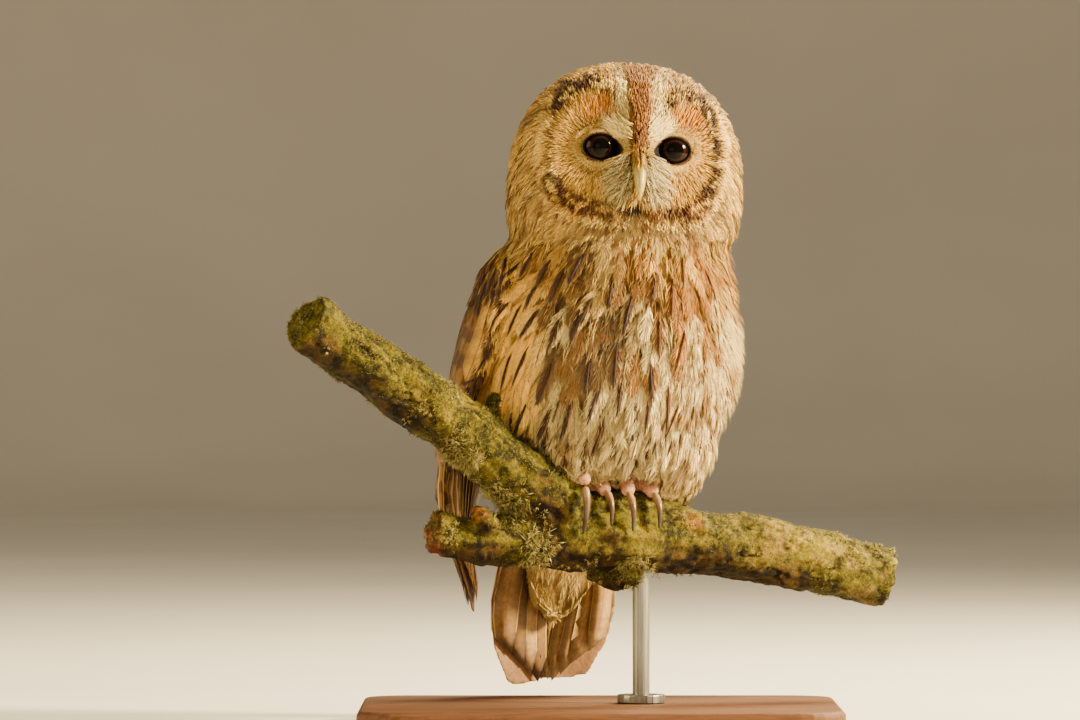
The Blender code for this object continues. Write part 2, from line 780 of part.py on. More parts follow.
def main():
    clear_scene()
    limb, arm, limb_room, arm_room, twig_room = perch()
    wood_rooms = (limb_room, arm_room)
    head_and_face()

    body = trunk()
    neck()
    feathers = material("breast", FEATHER_CREAM, 0.9)
    whole = body_length(TRUNK[0][0], NECK_TOP + 6, TRUNK_RINGS + 2, 1.4 * GAP)
    body_room = as_helper(add_object("body_room", *whole, feathers))

    tail = add_object("tail", *tail_shape(), material("wing", FEATHER_BROWN, 0.85))
    carve(tail, body_room)
    tail_room = as_helper(add_object("tail_room", *tail_shape(1.4 * GAP), feathers))
    undertail = add_object("undertail", *undertail_shape(), feathers)
    carve(undertail, body_room, tail_room)

    for name, mirror in (("right", -1), ("left", 1)):
        half = wing(f"wing_{name}", mirror)
        carve(half, body_room, tail_room)

    carve(body, *wood_rooms, twig_room)
    for (name, foot_x), mirror in zip(FOOT_PLACES, (-1, 1)):
        foot_room = foot(name, foot_x, wood_rooms)
        trousers = add_object(f"leg_{name}", *leg_shape(mirror), feathers)
        carve(trousers, *wood_rooms, foot_room)
        leg_room = as_helper(add_object(f"leg_room_{name}", *leg_shape(mirror, 1.4 * GAP), feathers))
        carve(body, leg_room, foot_room)
    stand(limb)


main()
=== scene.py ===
# %% [markdown]
# A tawny owl in life size, on a cut length of branch, on a plain display stand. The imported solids
# give every place and size. This lesson dresses them: one skin, a coat of solid feathers over it,
# wet eyes, a horn bill, scaly toes, and bark with moss. A feather coat can be made by a particle
# system, but the exported model would lose it, so every feather here is a closed mesh.

import math

import bmesh
import bpy
import numpy as np
from mathutils import Matrix, Vector
from mathutils.bvhtree import BVHTree

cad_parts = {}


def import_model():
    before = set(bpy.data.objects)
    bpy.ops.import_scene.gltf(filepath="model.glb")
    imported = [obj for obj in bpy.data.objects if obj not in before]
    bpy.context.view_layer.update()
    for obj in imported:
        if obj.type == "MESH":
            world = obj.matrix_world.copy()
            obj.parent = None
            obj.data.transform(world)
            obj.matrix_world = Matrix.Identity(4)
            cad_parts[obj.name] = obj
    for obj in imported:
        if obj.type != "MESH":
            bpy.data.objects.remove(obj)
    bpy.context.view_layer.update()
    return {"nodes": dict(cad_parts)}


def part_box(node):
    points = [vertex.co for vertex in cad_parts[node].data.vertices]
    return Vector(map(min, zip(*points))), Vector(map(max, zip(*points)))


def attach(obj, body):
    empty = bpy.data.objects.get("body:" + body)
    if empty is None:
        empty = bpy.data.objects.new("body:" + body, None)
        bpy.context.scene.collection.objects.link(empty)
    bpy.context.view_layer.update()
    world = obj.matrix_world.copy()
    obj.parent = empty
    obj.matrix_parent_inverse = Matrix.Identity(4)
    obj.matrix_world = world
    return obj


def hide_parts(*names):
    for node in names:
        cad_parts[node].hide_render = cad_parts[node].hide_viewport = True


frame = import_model()
MM = 0.001

# %% [markdown]
# The owl's body is turned on its perch, and its head is turned back a little towards the viewer.
# Places on the body are read in the body's own frame, and places on the face in the head's, both
# in millimetres: x runs to the owl's left, y behind it and z up.

# %% Body and head frames
OWL = Matrix.Translation((0.012, 0, 0.138)) @ Matrix.Rotation(math.radians(22), 4, "Z")
HEAD = (
    Matrix.Translation(OWL @ Vector((0, -0.006, 0.170)))
    @ Matrix.Rotation(math.radians(7.8), 4, "Z")
    @ Matrix.Rotation(math.radians(2.8), 4, "Y")
)


def local(place, points):
    """World points, in metres, as millimetres in a frame."""
    back = np.array(place.inverted())
    return (points @ back[:3, :3].T + back[:3, 3]) / MM


def world(place, points):
    """Millimetres in a frame as world points in metres."""
    there = np.array(place)
    return (np.asarray(points, float) * MM) @ there[:3, :3].T + there[:3, 3]


def turned(place, directions):
    return np.asarray(directions, float) @ np.array(place)[:3, :3].T


print("head centre:", [round(v, 4) for v in HEAD.translation])

# %% [markdown]
# A coat is made of many small decisions, so a few helpers come first: soft steps, bells, unit
# vectors and a smooth noise that works on thousands of points at once. Colours are written the way
# a paint chart gives them and turned into light values.

# %% Helpers for fields
def rise(x, low, high):
    """0 below low, 1 above high and smooth between. It falls where high is below low."""
    t = np.clip((x - low) / (high - low), 0, 1)
    return t * t * (3 - 2 * t)


def bell(x, width):
    return np.exp(-((x / width) ** 2))


def unit(vectors):
    return vectors / np.maximum(np.linalg.norm(vectors, axis=-1, keepdims=True), 1e-9)


def mixed(a, b, share):
    share = np.asarray(share)[..., None]
    return a * (1 - share) + b * share


def grain(points, size, seed=0):
    """Smooth noise from about -1 to 1 with lumps about size across."""
    spot = np.asarray(points, float) / size + 31.7 * seed
    cell = np.floor(spot).astype(np.int64)
    part = spot - cell
    part = part * part * (3 - 2 * part)
    total = np.zeros(len(spot))
    for step in np.ndindex(2, 2, 2):
        at = (cell + step) * (374761393, 668265263, 1274126177)
        mark = (at[:, 0] ^ at[:, 1] ^ at[:, 2]) & 0x7FFFFFFF
        mark = ((mark ^ (mark >> 13)) * 1103515245) & 0x7FFFFFFF
        mark = (mark ^ (mark >> 15)) & 0xFFFF
        share = np.prod(np.where(step, part, 1 - part), axis=1)
        total += share * (mark / 32767.5 - 1)
    return total * 1.6


def paint(red, green, blue):
    """A chart colour, 0 to 255, as linear light."""
    chart = np.array((red, green, blue)) / 255
    return np.where(chart < 0.04045, chart / 12.92, ((chart + 0.055) / 1.055) ** 2.4)


CREAM = paint(244, 207, 114)
WHITE = paint(250, 229, 162)
BUFF = paint(230, 178, 76)
GOLD = paint(240, 186, 66)
ORANGE = paint(218, 128, 14)
RUFOUS = paint(144, 82, 24)
UMBER = paint(86, 49, 22)
DARK = paint(42, 24, 12)
ASH = paint(188, 166, 104)
print("palette ready, cream is", CREAM.round(2))

# %% [markdown]
# The flesh nodes meet with hair-thin gaps, as solids must. A real owl has one unbroken skin, so the
# nodes are swollen by less than half a millimetre, joined, and remeshed by voxels into one form.
# That form is where the plumage ends. The skin is the same form, drawn in by the coat's depth.

# %% One form from the flesh nodes
FLESH = ("head", "neck", "trunk", "leg_left", "leg_right", "undertail", "wing_left", "wing_right", "tail")


def merged(node):
    """A copy of a solid with its loose triangles joined."""
    part = bmesh.new()
    part.from_mesh(frame["nodes"][node].data)
    bmesh.ops.remove_doubles(part, verts=part.verts, dist=1e-6)
    part.normal_update()
    return part


def evaluated(thing):
    """The thing's mesh with its modifiers applied; the thing itself is cleared away."""
    graph = bpy.context.evaluated_depsgraph_get()
    graph.update()
    mesh = bpy.data.meshes.new_from_object(thing.evaluated_get(graph), depsgraph=graph)
    bpy.data.objects.remove(thing)
    return mesh


def add(name, mesh):
    thing = bpy.data.objects.new(name, mesh)
    bpy.context.scene.collection.objects.link(thing)
    return thing


def finished(name, mesh, material, slot, *replaced):
    """A mesh as a piece of the model, in its material, in place of the solids named last."""
    if material:
        mesh.materials.clear()
        mesh.materials.append(material)
    piece = add(name, mesh)
    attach(piece, "root")
    if replaced:
        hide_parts(*replaced)
    return piece


def mesh_of(part, name):
    """The mesh of a bmesh, which is freed."""
    mesh = bpy.data.meshes.new(name)
    part.to_mesh(mesh)
    part.free()
    return mesh


def one_form(nodes, swell, voxel):
    whole = bmesh.new()
    for node in nodes:
        part = merged(node)
        for corner in part.verts:
            corner.co += corner.normal * swell
        whole.from_mesh(mesh_of(part, "part"))
    thing = add("form", mesh_of(whole, "form"))
    shrink = thing.modifiers.new("one", "REMESH")
    shrink.mode = "VOXEL"
    shrink.voxel_size = voxel
    return evaluated(thing)


def read(layer, what, width, kind=float):
    values = np.empty(len(layer) * width, np.float32 if kind is float else np.int32)
    layer.foreach_get(what, values)
    return values.reshape(-1, width).astype(kind)


class Form:
    """A surface to plant feathers on, with quick ways to find places on it."""

    def __init__(self, mesh):
        self.mesh = mesh
        mesh.calc_loop_triangles()
        self.at = read(mesh.vertices, "co", 3)
        self.normal = read(mesh.vertices, "normal", 3)
        self.edge = read(mesh.edges, "vertices", 2, int)
        self.triangle = read(mesh.loop_triangles, "vertices", 3, int)
        self.loop = read(mesh.loop_triangles, "loops", 3, int)
        self.links = np.bincount(self.edge.ravel(), minlength=len(self.at))
        self.normal = unit(self.spread(self.normal, 4))
        self.tree = BVHTree.FromPolygons(self.at.tolist(), self.triangle.tolist())

    def spread(self, values, rounds):
        """Each corner's value averaged with its neighbours', several times over."""
        one, other = self.edge.T
        for _ in range(rounds):
            total = values.astype(float)
            np.add.at(total, one, values[other])
            np.add.at(total, other, values[one])
            values = total / (1 + self.links).reshape((-1,) + (1,) * (values.ndim - 1))
        return values

    def nearest(self, points):
        found = [self.tree.find_nearest(p) for p in points.tolist()]
        index = np.array([hit[2] for hit in found])
        return np.array([hit[0] for hit in found]), self.lean(index), index

    def lean(self, index):
        return unit(self.normal[self.triangle[index]].sum(axis=1))

    def cast(self, starts, directions):
        """The first place that each ray meets, and which rays meet one."""
        found = [self.tree.ray_cast(a, b) for a, b in zip(starts.tolist(), directions.tolist())]
        met = np.array([hit[2] is not None for hit in found])
        index = np.array([hit[2] or 0 for hit in found])
        place = np.array([hit[0] if hit[2] is not None else (0, 0, 0) for hit in found], float)
        return place, self.lean(index), index, met


def node_form(name):
    return Form(mesh_of(merged(name), name))


owl_form = Form(one_form(FLESH, 0.0004, 0.0018))
print("owl form:", len(owl_form.at), "corners,", len(owl_form.triangle), "triangles")

# %% [markdown]
# Each corner of the form learns which part of the bird it belongs to, and how deep the plumage is
# there: a couple of millimetres on the face, most of a centimetre on the breast, and almost nothing
# on the tail, where the feathers are the surface.

# %% Parts and depth of the coat
EYE = np.array((21.6, -33.0, 28.2))
EYE_RADIUS = 11.5


def nearest_node(points, nodes):
    corners, faces, owner = [], [], []
    for number, node in enumerate(nodes):
        part = merged(node)
        start = len(corners)
        corners += [v.co.to_tuple() for v in part.verts]
        faces += [[start + v.index for v in face.verts] for face in part.faces]
        owner += [number] * len(part.faces)
        part.free()
    tree = BVHTree.FromPolygons(corners, faces)
    return np.array([owner[tree.find_nearest(p)[2]] for p in points.tolist()])


def disc(face):
    """Place on the facial disc: how far out (1 on its ring) and which way, in degrees, 0 outwards."""
    left = rise(face[:, 0], -8, 8)
    side = (np.abs(face[:, 0]) - 20) / (32 - 3 * left)
    high = face[:, 2] - 29.5
    high = high / np.where(high > 0, 37 - 5.5 * left, 38.5)
    out = (np.abs(side) ** 2.2 + np.abs(high) ** 2.2) ** (1 / 2.2)
    return out, np.degrees(np.arctan2(high, side))


def lid_edge(turn):
    """Half opening of the lids by angle, 0 outwards: an almond with a corner drawn to the bill."""
    corner = np.exp(-(((turn - math.radians(188) + math.pi) % math.tau - math.pi) / 0.36) ** 2)
    return 1 / np.hypot(np.cos(turn) / 10.0, np.sin(turn) / 7.9) + 2.2 * corner


def off_lids(face):
    """How far a place is outside the lids' edge."""
    side, high = np.abs(face[:, 0]) - EYE[0], face[:, 2] - EYE[2]
    return np.hypot(side, high) - lid_edge(np.arctan2(high, side))


def on_face(face):
    """1 on the front of the head, 0 behind."""
    return rise(face[:, 1], -6, -20)


FEATHER_DEPTH = {"head": 5.0, "neck": 6.5, "trunk": 7.0, "leg_left": 5.0, "leg_right": 5.0,
                 "undertail": 4.5, "wing_left": 2.2, "wing_right": 2.2, "tail": 1.0}


def coat_depth(points, region):
    depth = np.array([FEATHER_DEPTH[name] for name in FLESH])[region]
    face = local(HEAD, points)
    out, _ = disc(face)
    inside = on_face(face) * rise(out, 1.35, 1.0)
    in_head = region == 0
    depth = np.where(in_head, 5.5 * (1 - inside) + 2.0 * inside, depth)
    near_eye = rise(off_lids(face), 6, 1) * on_face(face)
    depth = np.where(in_head, depth * (1 - near_eye) + 0.3 * near_eye, depth)
    return (depth + 6.0 * in_head * rise(off_lids(face), 0.8, -0.6) * on_face(face)) * MM


REGION = nearest_node(owl_form.at, FLESH)
DEPTH = owl_form.spread(coat_depth(owl_form.at, REGION), 8)
region_of = {name: number for number, name in enumerate(FLESH)}
print("corners per part:", dict(zip(FLESH, np.bincount(REGION, minlength=9).tolist())))

# %% [markdown]
# Folded wings are long curved shells. Slices through the form at many heights give each wing's
# front and back edge, and a feather's place on it is then a height and a share across.

# %% Wing and tail charts
CHEST_Y = ((-75, 58), (-28, 38), (2, 28), (62, 14), (145, 8))


def middle_y(height):
    return np.interp(height, [h for h, _ in CHEST_Y], [y for _, y in CHEST_Y])


def wing_edges(side):
    """Heights, and the angles of the wing's two edges about the body's middle at each."""
    own = owl_form.at[REGION == region_of["wing_left" if side > 0 else "wing_right"]]
    spot = local(OWL, own)
    angle = np.degrees(np.arctan2(spot[:, 1] - middle_y(spot[:, 2]), side * spot[:, 0]))
    heights = np.arange(-72, 143, 6.0)
    low, high = [], []
    for height in heights:
        near = angle[np.abs(spot[:, 2] - height) < 5]
        low.append(np.percentile(near, 4))
        high.append(np.percentile(near, 96))
    soft = np.array((0.25, 0.5, 0.25))
    ease = lambda row: np.convolve(np.pad(row, 1, "edge"), soft, "valid")
    return heights, ease(low), ease(high)


WING_EDGES = {side: wing_edges(side) for side in (-1, 1)}


def wing_span(side, height):
    """The angles of the wing's front and back edges at a height."""
    heights, low, high = WING_EDGES[side]
    return np.interp(height, heights, low), np.interp(height, heights, high)


def wing_place(side, height, across, inner=None):
    """Places on the wing's outer face, or on its inner face where the wing's own form is given."""
    a, b = wing_span(side, height)
    angle = np.radians(a + (b - a) * across)
    out = np.stack((side * np.cos(angle), np.sin(angle), np.zeros_like(angle)), axis=-1)
    start = np.stack((np.zeros_like(angle), middle_y(height), height), axis=-1)
    if inner:
        return inner.cast(world(OWL, start), turned(OWL, out))
    return owl_form.cast(world(OWL, start + out * 200), turned(OWL, -out))


print("right wing's edges at mid height:", [round(float(edge)) for edge in wing_span(-1, 60)])

# %% [markdown]
# Feathers lie in streams. On the face they fan out from the eyes, and from the root of the bill.
# Over the crown they run back, down the breast they run to the tail, and on the wings they follow
# the folded hand. The lie is one function of place, and it is drawn tight to the surface.

# %% The lie of the plumage
def head_lie(face):
    side, drift = np.sign(face[:, 0]), np.clip(face[:, 0] / 9, -1, 1)
    away = unit(face - (0, -48, 22))
    behind = rise(face[:, 1], -25, 25)[:, None]
    lie = away + behind * (0, 0.3, -1.2)
    flank = (rise(np.abs(face[:, 0]), 46, 60) * rise(face[:, 2], 62, 30))[:, None]
    lie = lie + flank * (0, 0.25, -1.0)
    out, _ = disc(face)
    eye = np.stack((face[:, 0] - side * EYE[0], 0 * side, face[:, 2] - EYE[2]), axis=1)
    fan = (rise(out, 1.2, 1.0) * on_face(face))[:, None]
    lie = lie * (1 - fan) + unit(eye) * fan
    middle = rise(np.abs(face[:, 0]), 15, 7) * on_face(face)
    up = (middle * rise(face[:, 2], 27, 33))[:, None]
    lie = lie * (1 - up) + up * np.stack((0.35 * drift, 0 * side, 1 + 0 * side), axis=1)
    low = (middle * rise(face[:, 2], 29, 23))[:, None]
    return lie * (1 - low) + low * np.stack((0.55 * drift, 0 * side, -1 + 0 * side), axis=1)


def wing_lie(side, spot):
    step = 4.0
    height = np.clip(spot[:, 2], -66, 138)
    angle = np.degrees(np.arctan2(spot[:, 1] - middle_y(height), side * spot[:, 0]))
    a, b = wing_span(side, height)
    across = np.clip((angle - a) / np.maximum(b - a, 5), 0, 1)
    a, b = wing_span(side, height - step)
    ahead = np.radians(a + (b - a) * across)
    reach = np.hypot(spot[:, 0], spot[:, 1] - middle_y(height))
    there = (side * np.cos(ahead) * reach, middle_y(height - step) + np.sin(ahead) * reach)
    there = np.stack(there, axis=1)
    return np.column_stack((there - spot[:, :2], np.full(len(spot), -step)))


def lie_at(points, normals, region):
    spot = local(OWL, points)
    lie = np.tile((-0.10, 0.46, -1.0), (len(points), 1))
    lie[region == region_of["tail"]] = (0, 0.3, -1)
    lie[region == region_of["undertail"]] = (0, 0.35, -1)
    for side, name in ((-1, "wing_right"), (1, "wing_left")):
        own = region == region_of[name]
        if own.any():
            lie[own] = wing_lie(side, spot[own])
    lie = turned(OWL, lie)
    own = region == region_of["head"]
    if own.any():
        lie[own] = turned(HEAD, head_lie(local(HEAD, points[own])))
    lie = lie - normals * (lie * normals).sum(axis=1)[:, None]
    return unit(lie)


def comb(index, points, length, steps, stray=0.0, seed=1):
    """Paths along the lie from each root: places, surface normals and depths, for each step."""
    dice = np.random.default_rng(seed)
    veer = dice.normal(0, stray, len(points))
    where, lean = points, owl_form.lean(index)
    places, normals, depths = [where], [lean], [DEPTH[owl_form.triangle[index]].mean(axis=1)]
    for _ in range(steps):
        region = REGION[owl_form.triangle[index, 0]]
        lie = lie_at(where, lean, region)
        lie = unit(lie + np.cross(lean, lie) * veer[:, None])
        where, lean, index = owl_form.nearest(where + lie * (length / steps)[:, None])
        places.append(where)
        normals.append(lean)
        depths.append(DEPTH[owl_form.triangle[index]].mean(axis=1))
    return np.stack(places, 1), np.stack(normals, 1), np.stack(depths, 1)


# %% [markdown]
# Roots are sown on the form at an even spacing: candidates are scattered by area, and one is kept
# where no kept root is nearer than the spacing, which is how real follicles share out the skin.

# %% Sowing roots
NEIGHBOURS = [(i, j, l) for i in (0, -1, 1) for j in (0, -1, 1) for l in (0, -1, 1)]


def sow(share, spacing, seed, crowd=4.0, stretch=1.0):
    """Triangles and places of roots, no two nearer than spacing. share is a 0 to 1 chance per corner,
    and spacing is in metres. Below 1, stretch lets roots lie farther apart up and down than across."""
    dice = np.random.default_rng(seed)
    a, b, c = (owl_form.at[owl_form.triangle[:, k]] for k in range(3))
    area = np.linalg.norm(np.cross(b - a, c - a), axis=1) / 2
    want = share[owl_form.triangle].mean(axis=1) * area / spacing**2 * crowd * stretch
    total = int(want.sum())
    index = dice.choice(len(want), total, p=want / want.sum())
    weights = dice.dirichlet((1, 1, 1), total)
    place = (owl_form.at[owl_form.triangle[index]] * weights[..., None]).sum(axis=1)
    drawn = place * (1, 1, stretch)
    cell = np.floor(drawn / spacing).astype(int).tolist()
    kept, grid = [], {}
    spots = drawn.tolist()
    for k in range(total):
        i, j, l = cell[k]
        x, y, z = spots[k]
        near = False
        for key in NEIGHBOURS:
            for other in grid.get((i + key[0], j + key[1], l + key[2]), ()):
                u, v, w = spots[other]
                if (u - x) ** 2 + (v - y) ** 2 + (w - z) ** 2 < spacing**2:
                    near = True
                    break
            if near:
                break
        if not near:
            kept.append(k)
            grid.setdefault((i, j, l), []).append(k)
    kept = np.array(kept)
    return index[kept], place[kept], weights[kept]


in_part = {name: (REGION == number).astype(float) for name, number in region_of.items()}
print("sowing ready")

# %% [markdown]
# The skin is drawn in from the form by the coat's depth and smoothed. It is unwrapped as its own
# shape, and each feather's patch on the coat's map is found from its root's triangle on the skin.

# %% Skin and its unwrap
def skin_mesh():
    mesh = owl_form.mesh
    inner = owl_form.at - owl_form.normal * DEPTH[:, None]
    inner = owl_form.spread(inner, 2)
    mesh.vertices.foreach_set("co", inner.astype(np.float32).ravel())
    mesh.update()
    return mesh


skin = add("skin", skin_mesh())
bpy.context.view_layer.objects.active = skin
skin.select_set(True)
bpy.ops.object.mode_set(mode="EDIT")
bpy.ops.mesh.select_all(action="SELECT")
bpy.ops.uv.smart_project(angle_limit=math.radians(66), island_margin=0.002)
bpy.ops.object.mode_set(mode="OBJECT")
skin.data.uv_layers.active.name = "OFBake"
SKIN_UV = read(skin.data.uv_layers["OFBake"].data, "uv", 2)
skin.data.shade_smooth()


def bake_spot(index, weights):
    return (SKIN_UV[owl_form.loop[index]] * weights[..., None]).sum(axis=1)


def middle_spot(index):
    """The place in the skin's patches of each triangle's middle."""
    return bake_spot(index, np.full((len(index), 3), 1 / 3))


print("skin:", len(skin.data.polygons), "faces, unwrapped")

# %% [markdown]
# Every strand of the coat is a closed shell along a path: a point at its root, a few rings, and a
# point at its tip. A barb lock has rings of three corners. A vane, for flight feathers, has flat
# rings of four: two edges, the shaft above and the shaft below.

# %% Strands
PATCH = 0.003
CORNERS = [0.5 + math.tau * k / 3 for k in range(3)]
ROUND = np.array([(math.cos(a), 0.75 * math.sin(a)) for a in CORNERS])
FLAT = np.array([(1.0, 0.0), (0.0, 1.0), (-1.0, 0.0), (0.0, -1.0)])


def strand_faces(stations, corners):
    faces = []
    ring = lambda k, j: 1 + (k - 1) * corners + j % corners
    last = 1 + (stations - 2) * corners
    for j in range(corners):
        faces.append((0, ring(1, j + 1), ring(1, j)))
        for k in range(1, stations - 2):
            faces.append((ring(k, j), ring(k, j + 1), ring(k + 1, j + 1)))
            faces.append((ring(k, j), ring(k + 1, j + 1), ring(k + 1, j)))
        faces.append((ring(stations - 2, j), ring(stations - 2, j + 1), last))
    return np.array(faces)


def strands(path, up, half, thick, section, colours, spots):
    """Shells along path (L, S, 3). half and thick are (L, S), colours (L, S, C), spots (L, 2)."""
    count, stations = path.shape[:2]
    along = unit(np.gradient(path, axis=1))
    side = unit(np.cross(up, along))
    over = np.cross(along, side)
    corners = len(section)
    rings = (
        path[:, 1:-1, None]
        + side[:, 1:-1, None] * (half[:, 1:-1, None] * section[:, 0])[..., None]
        + over[:, 1:-1, None] * (thick[:, 1:-1, None] * section[:, 1])[..., None]
    ).reshape(count, -1, 3)
    points = np.concatenate((path[:, :1], rings, path[:, -1:]), axis=1)
    repeat = np.repeat(np.arange(1, stations - 1), corners)
    row = np.concatenate(([0], repeat, [stations - 1]))
    shade = colours[:, row]
    wide = np.concatenate(([0.0], np.tile(section[:, 0], stations - 2), [0.0]))
    place = np.stack((wide / 2, row / (stations - 1) - 0.5), axis=1)
    bake = spots[:, None] + PATCH * place
    faces = strand_faces(stations, corners)[None] + (np.arange(count) * points.shape[1])[:, None, None]
    flow = np.stack((np.tile(wide, (count, 1)), np.tile(row / (stations - 1), (count, 1))), axis=2)
    shade = shade.reshape(-1, shade.shape[-1])
    return points.reshape(-1, 3), faces.reshape(-1, 3), shade, bake.reshape(-1, 2), flow.reshape(-1, 2)


def gathered(sets):
    """Several sets of strands as one set of arrays."""
    starts = np.cumsum([0] + [len(s[0]) for s in sets])
    faces = np.concatenate([s[1] + start for s, start in zip(sets, starts)])
    return [np.concatenate([s[0] for s in sets]), faces] + [
        np.concatenate([s[k] for s in sets]) for k in range(2, len(sets[0]))
    ]


def mesh_from(name, points, faces):
    mesh = bpy.data.meshes.new(name)
    mesh.vertices.add(len(points))
    mesh.vertices.foreach_set("co", np.asarray(points, np.float32).ravel())
    mesh.loops.add(faces.size)
    mesh.loops.foreach_set("vertex_index", faces.astype(np.int32).ravel())
    mesh.polygons.add(len(faces))
    mesh.polygons.foreach_set("loop_start", np.arange(0, faces.size, faces.shape[1], dtype=np.int32))
    mesh.update(calc_edges=True)
    mesh.shade_smooth()
    return mesh


def set_colour(mesh, name, values):
    layer = mesh.attributes.new(name, "FLOAT_COLOR", "POINT")
    full = np.ones((len(values), 4), np.float32)
    full[:, :3] = values
    layer.data.foreach_set("color", full.ravel())


def set_value(mesh, name, values):
    layer = mesh.attributes.new(name, "FLOAT", "POINT")
    layer.data.foreach_set("value", np.asarray(values, np.float32))


COAT = []


def coat_piece(name, sets, material, slot, marks=False):
    """One piece of the coat from sets of strands. Its colour columns are the tint, then the mark."""
    points, faces, colours, bake, flow = gathered(sets)
    mesh = mesh_from(name, points, faces)
    set_colour(mesh, "tint", colours[:, :3])
    if marks:
        set_colour(mesh, "mark", colours[:, 3:6])
        set_value(mesh, "barred", colours[:, 6])
        set_value(mesh, "streak", colours[:, 7])
    for label, values in (("OFBake", bake), ("vane", flow)):
        layer = mesh.uv_layers.new(name=label)
        layer.data.foreach_set("uv", values[faces.ravel()].astype(np.float32).ravel())
    finished(name, mesh, material, slot)
    COAT.append((name, len(faces)))
    print(name, len(faces), "triangles")


# %% [markdown]
# Plumage is matt and soft, with a faint sheen, and each barb differs a little from the next. The
# tint comes from the strand; noise breaks it up, and a fine noise stretched along the strand makes
# the barbules. Flight feathers get their bars, their pale edges and their shaft from the vane's
# own map: x runs across the vane and y from root to tip.

# %% Material helpers
def fill(tree, made, inputs):
    """Fills a node's inputs, by name or number: a socket is linked, a value is set."""
    for key, value in dict(inputs).items():
        if isinstance(value, bpy.types.NodeSocket):
            tree.links.new(value, made.inputs[key])
        else:
            made.inputs[key].default_value = value
    return made


def node(tree, kind, inputs=(), **settings):
    made = tree.nodes.new(kind if kind.startswith(("Geometry", "Function", "Node")) else "ShaderNode" + kind)
    for key, value in settings.items():
        setattr(made, key, value)
    return fill(tree, made, inputs)


def new_material(name):
    """A new material's tree, and the place within a piece that its patterns follow."""
    material = bpy.data.materials.new(name)
    material.use_nodes = True
    tree = material.node_tree
    tree.nodes.clear()
    node(tree, "OutputMaterial", {0: node(tree, "BsdfPrincipled").outputs[0]})
    return tree, node(tree, "TexCoord").outputs["Object"]


def surfaced(name, colour, rough, normal=None, others=()):
    """The named material, with its surface's inputs filled."""
    material = bpy.data.materials[name]
    inputs = {"Base Color": colour, "Roughness": rough, **dict(others)}
    if normal is not None:
        inputs["Normal"] = normal
    fill(material.node_tree, material.node_tree.nodes["Principled BSDF"], inputs)
    return material


def attribute(tree, name, output="Color"):
    return node(tree, "Attribute", attribute_name=name).outputs[output]


def sums(tree, operation, a, b=0.0, c=0.0, clamp=False):
    made = node(tree, "Math", {0: a, 1: b, 2: c}, operation=operation)
    made.use_clamp = clamp
    return made.outputs[0]


def blend(tree, share, a, b, kind="MIX"):
    """Colour a turned towards colour b by share."""
    full = lambda v: v if isinstance(v, bpy.types.NodeSocket) else (*v, 1.0)
    inputs = {0: share, 6: full(a), 7: full(b)}
    return node(tree, "Mix", inputs, data_type="RGBA", blend_type=kind).outputs[2]


def toned(tree, colour, share, stops):
    """A colour darkened and lightened by a pattern."""
    return blend(tree, 1.0, colour, ramp(tree, share, stops), "MULTIPLY")


def noise(tree, vector, scale, detail=3.0, rough=0.55):
    inputs = {"Vector": vector, "Scale": scale, "Detail": detail, "Roughness": rough}
    return node(tree, "TexNoise", inputs).outputs[0]


def ramp(tree, share, stops):
    made = node(tree, "ValToRGB", {0: share})
    band = made.color_ramp
    while len(band.elements) < len(stops):
        band.elements.new(0.5)
    for element, (place, value) in zip(band.elements, stops):
        element.position = place
        element.color = (value, value, value, 1) if np.isscalar(value) else (*value, 1)
    return made.outputs[0]


def bump(tree, height, strength, distance, under=None):
    inputs = {"Height": height, "Strength": strength, "Distance": distance}
    if under is not None:
        inputs["Normal"] = under
    return node(tree, "Bump", inputs).outputs[0]


def stretched(tree, vector, scale):
    return node(tree, "Mapping", {"Vector": vector, "Scale": scale}).outputs[0]


def plumage(name, sheen=0.08):
    tree, where = new_material(name)
    colour = toned(tree, attribute(tree, "tint"), noise(tree, where, 900.0), ((0.25, 0.72), (0.75, 1.18)))
    flow = node(tree, "UVMap", uv_map="vane").outputs[0]
    barbules = noise(tree, stretched(tree, flow, (3.0, 26.0, 1.0)), 6.0, 2.0)
    rough = ramp(tree, noise(tree, where, 300.0), ((0.3, 0.62), (0.7, 0.85)))
    normal = bump(tree, barbules, 0.35, 0.0003)
    others = {"Specular IOR Level": 0.25, "Sheen Weight": sheen, "Sheen Roughness": 0.5}
    return surfaced(name, colour, rough, normal, others)


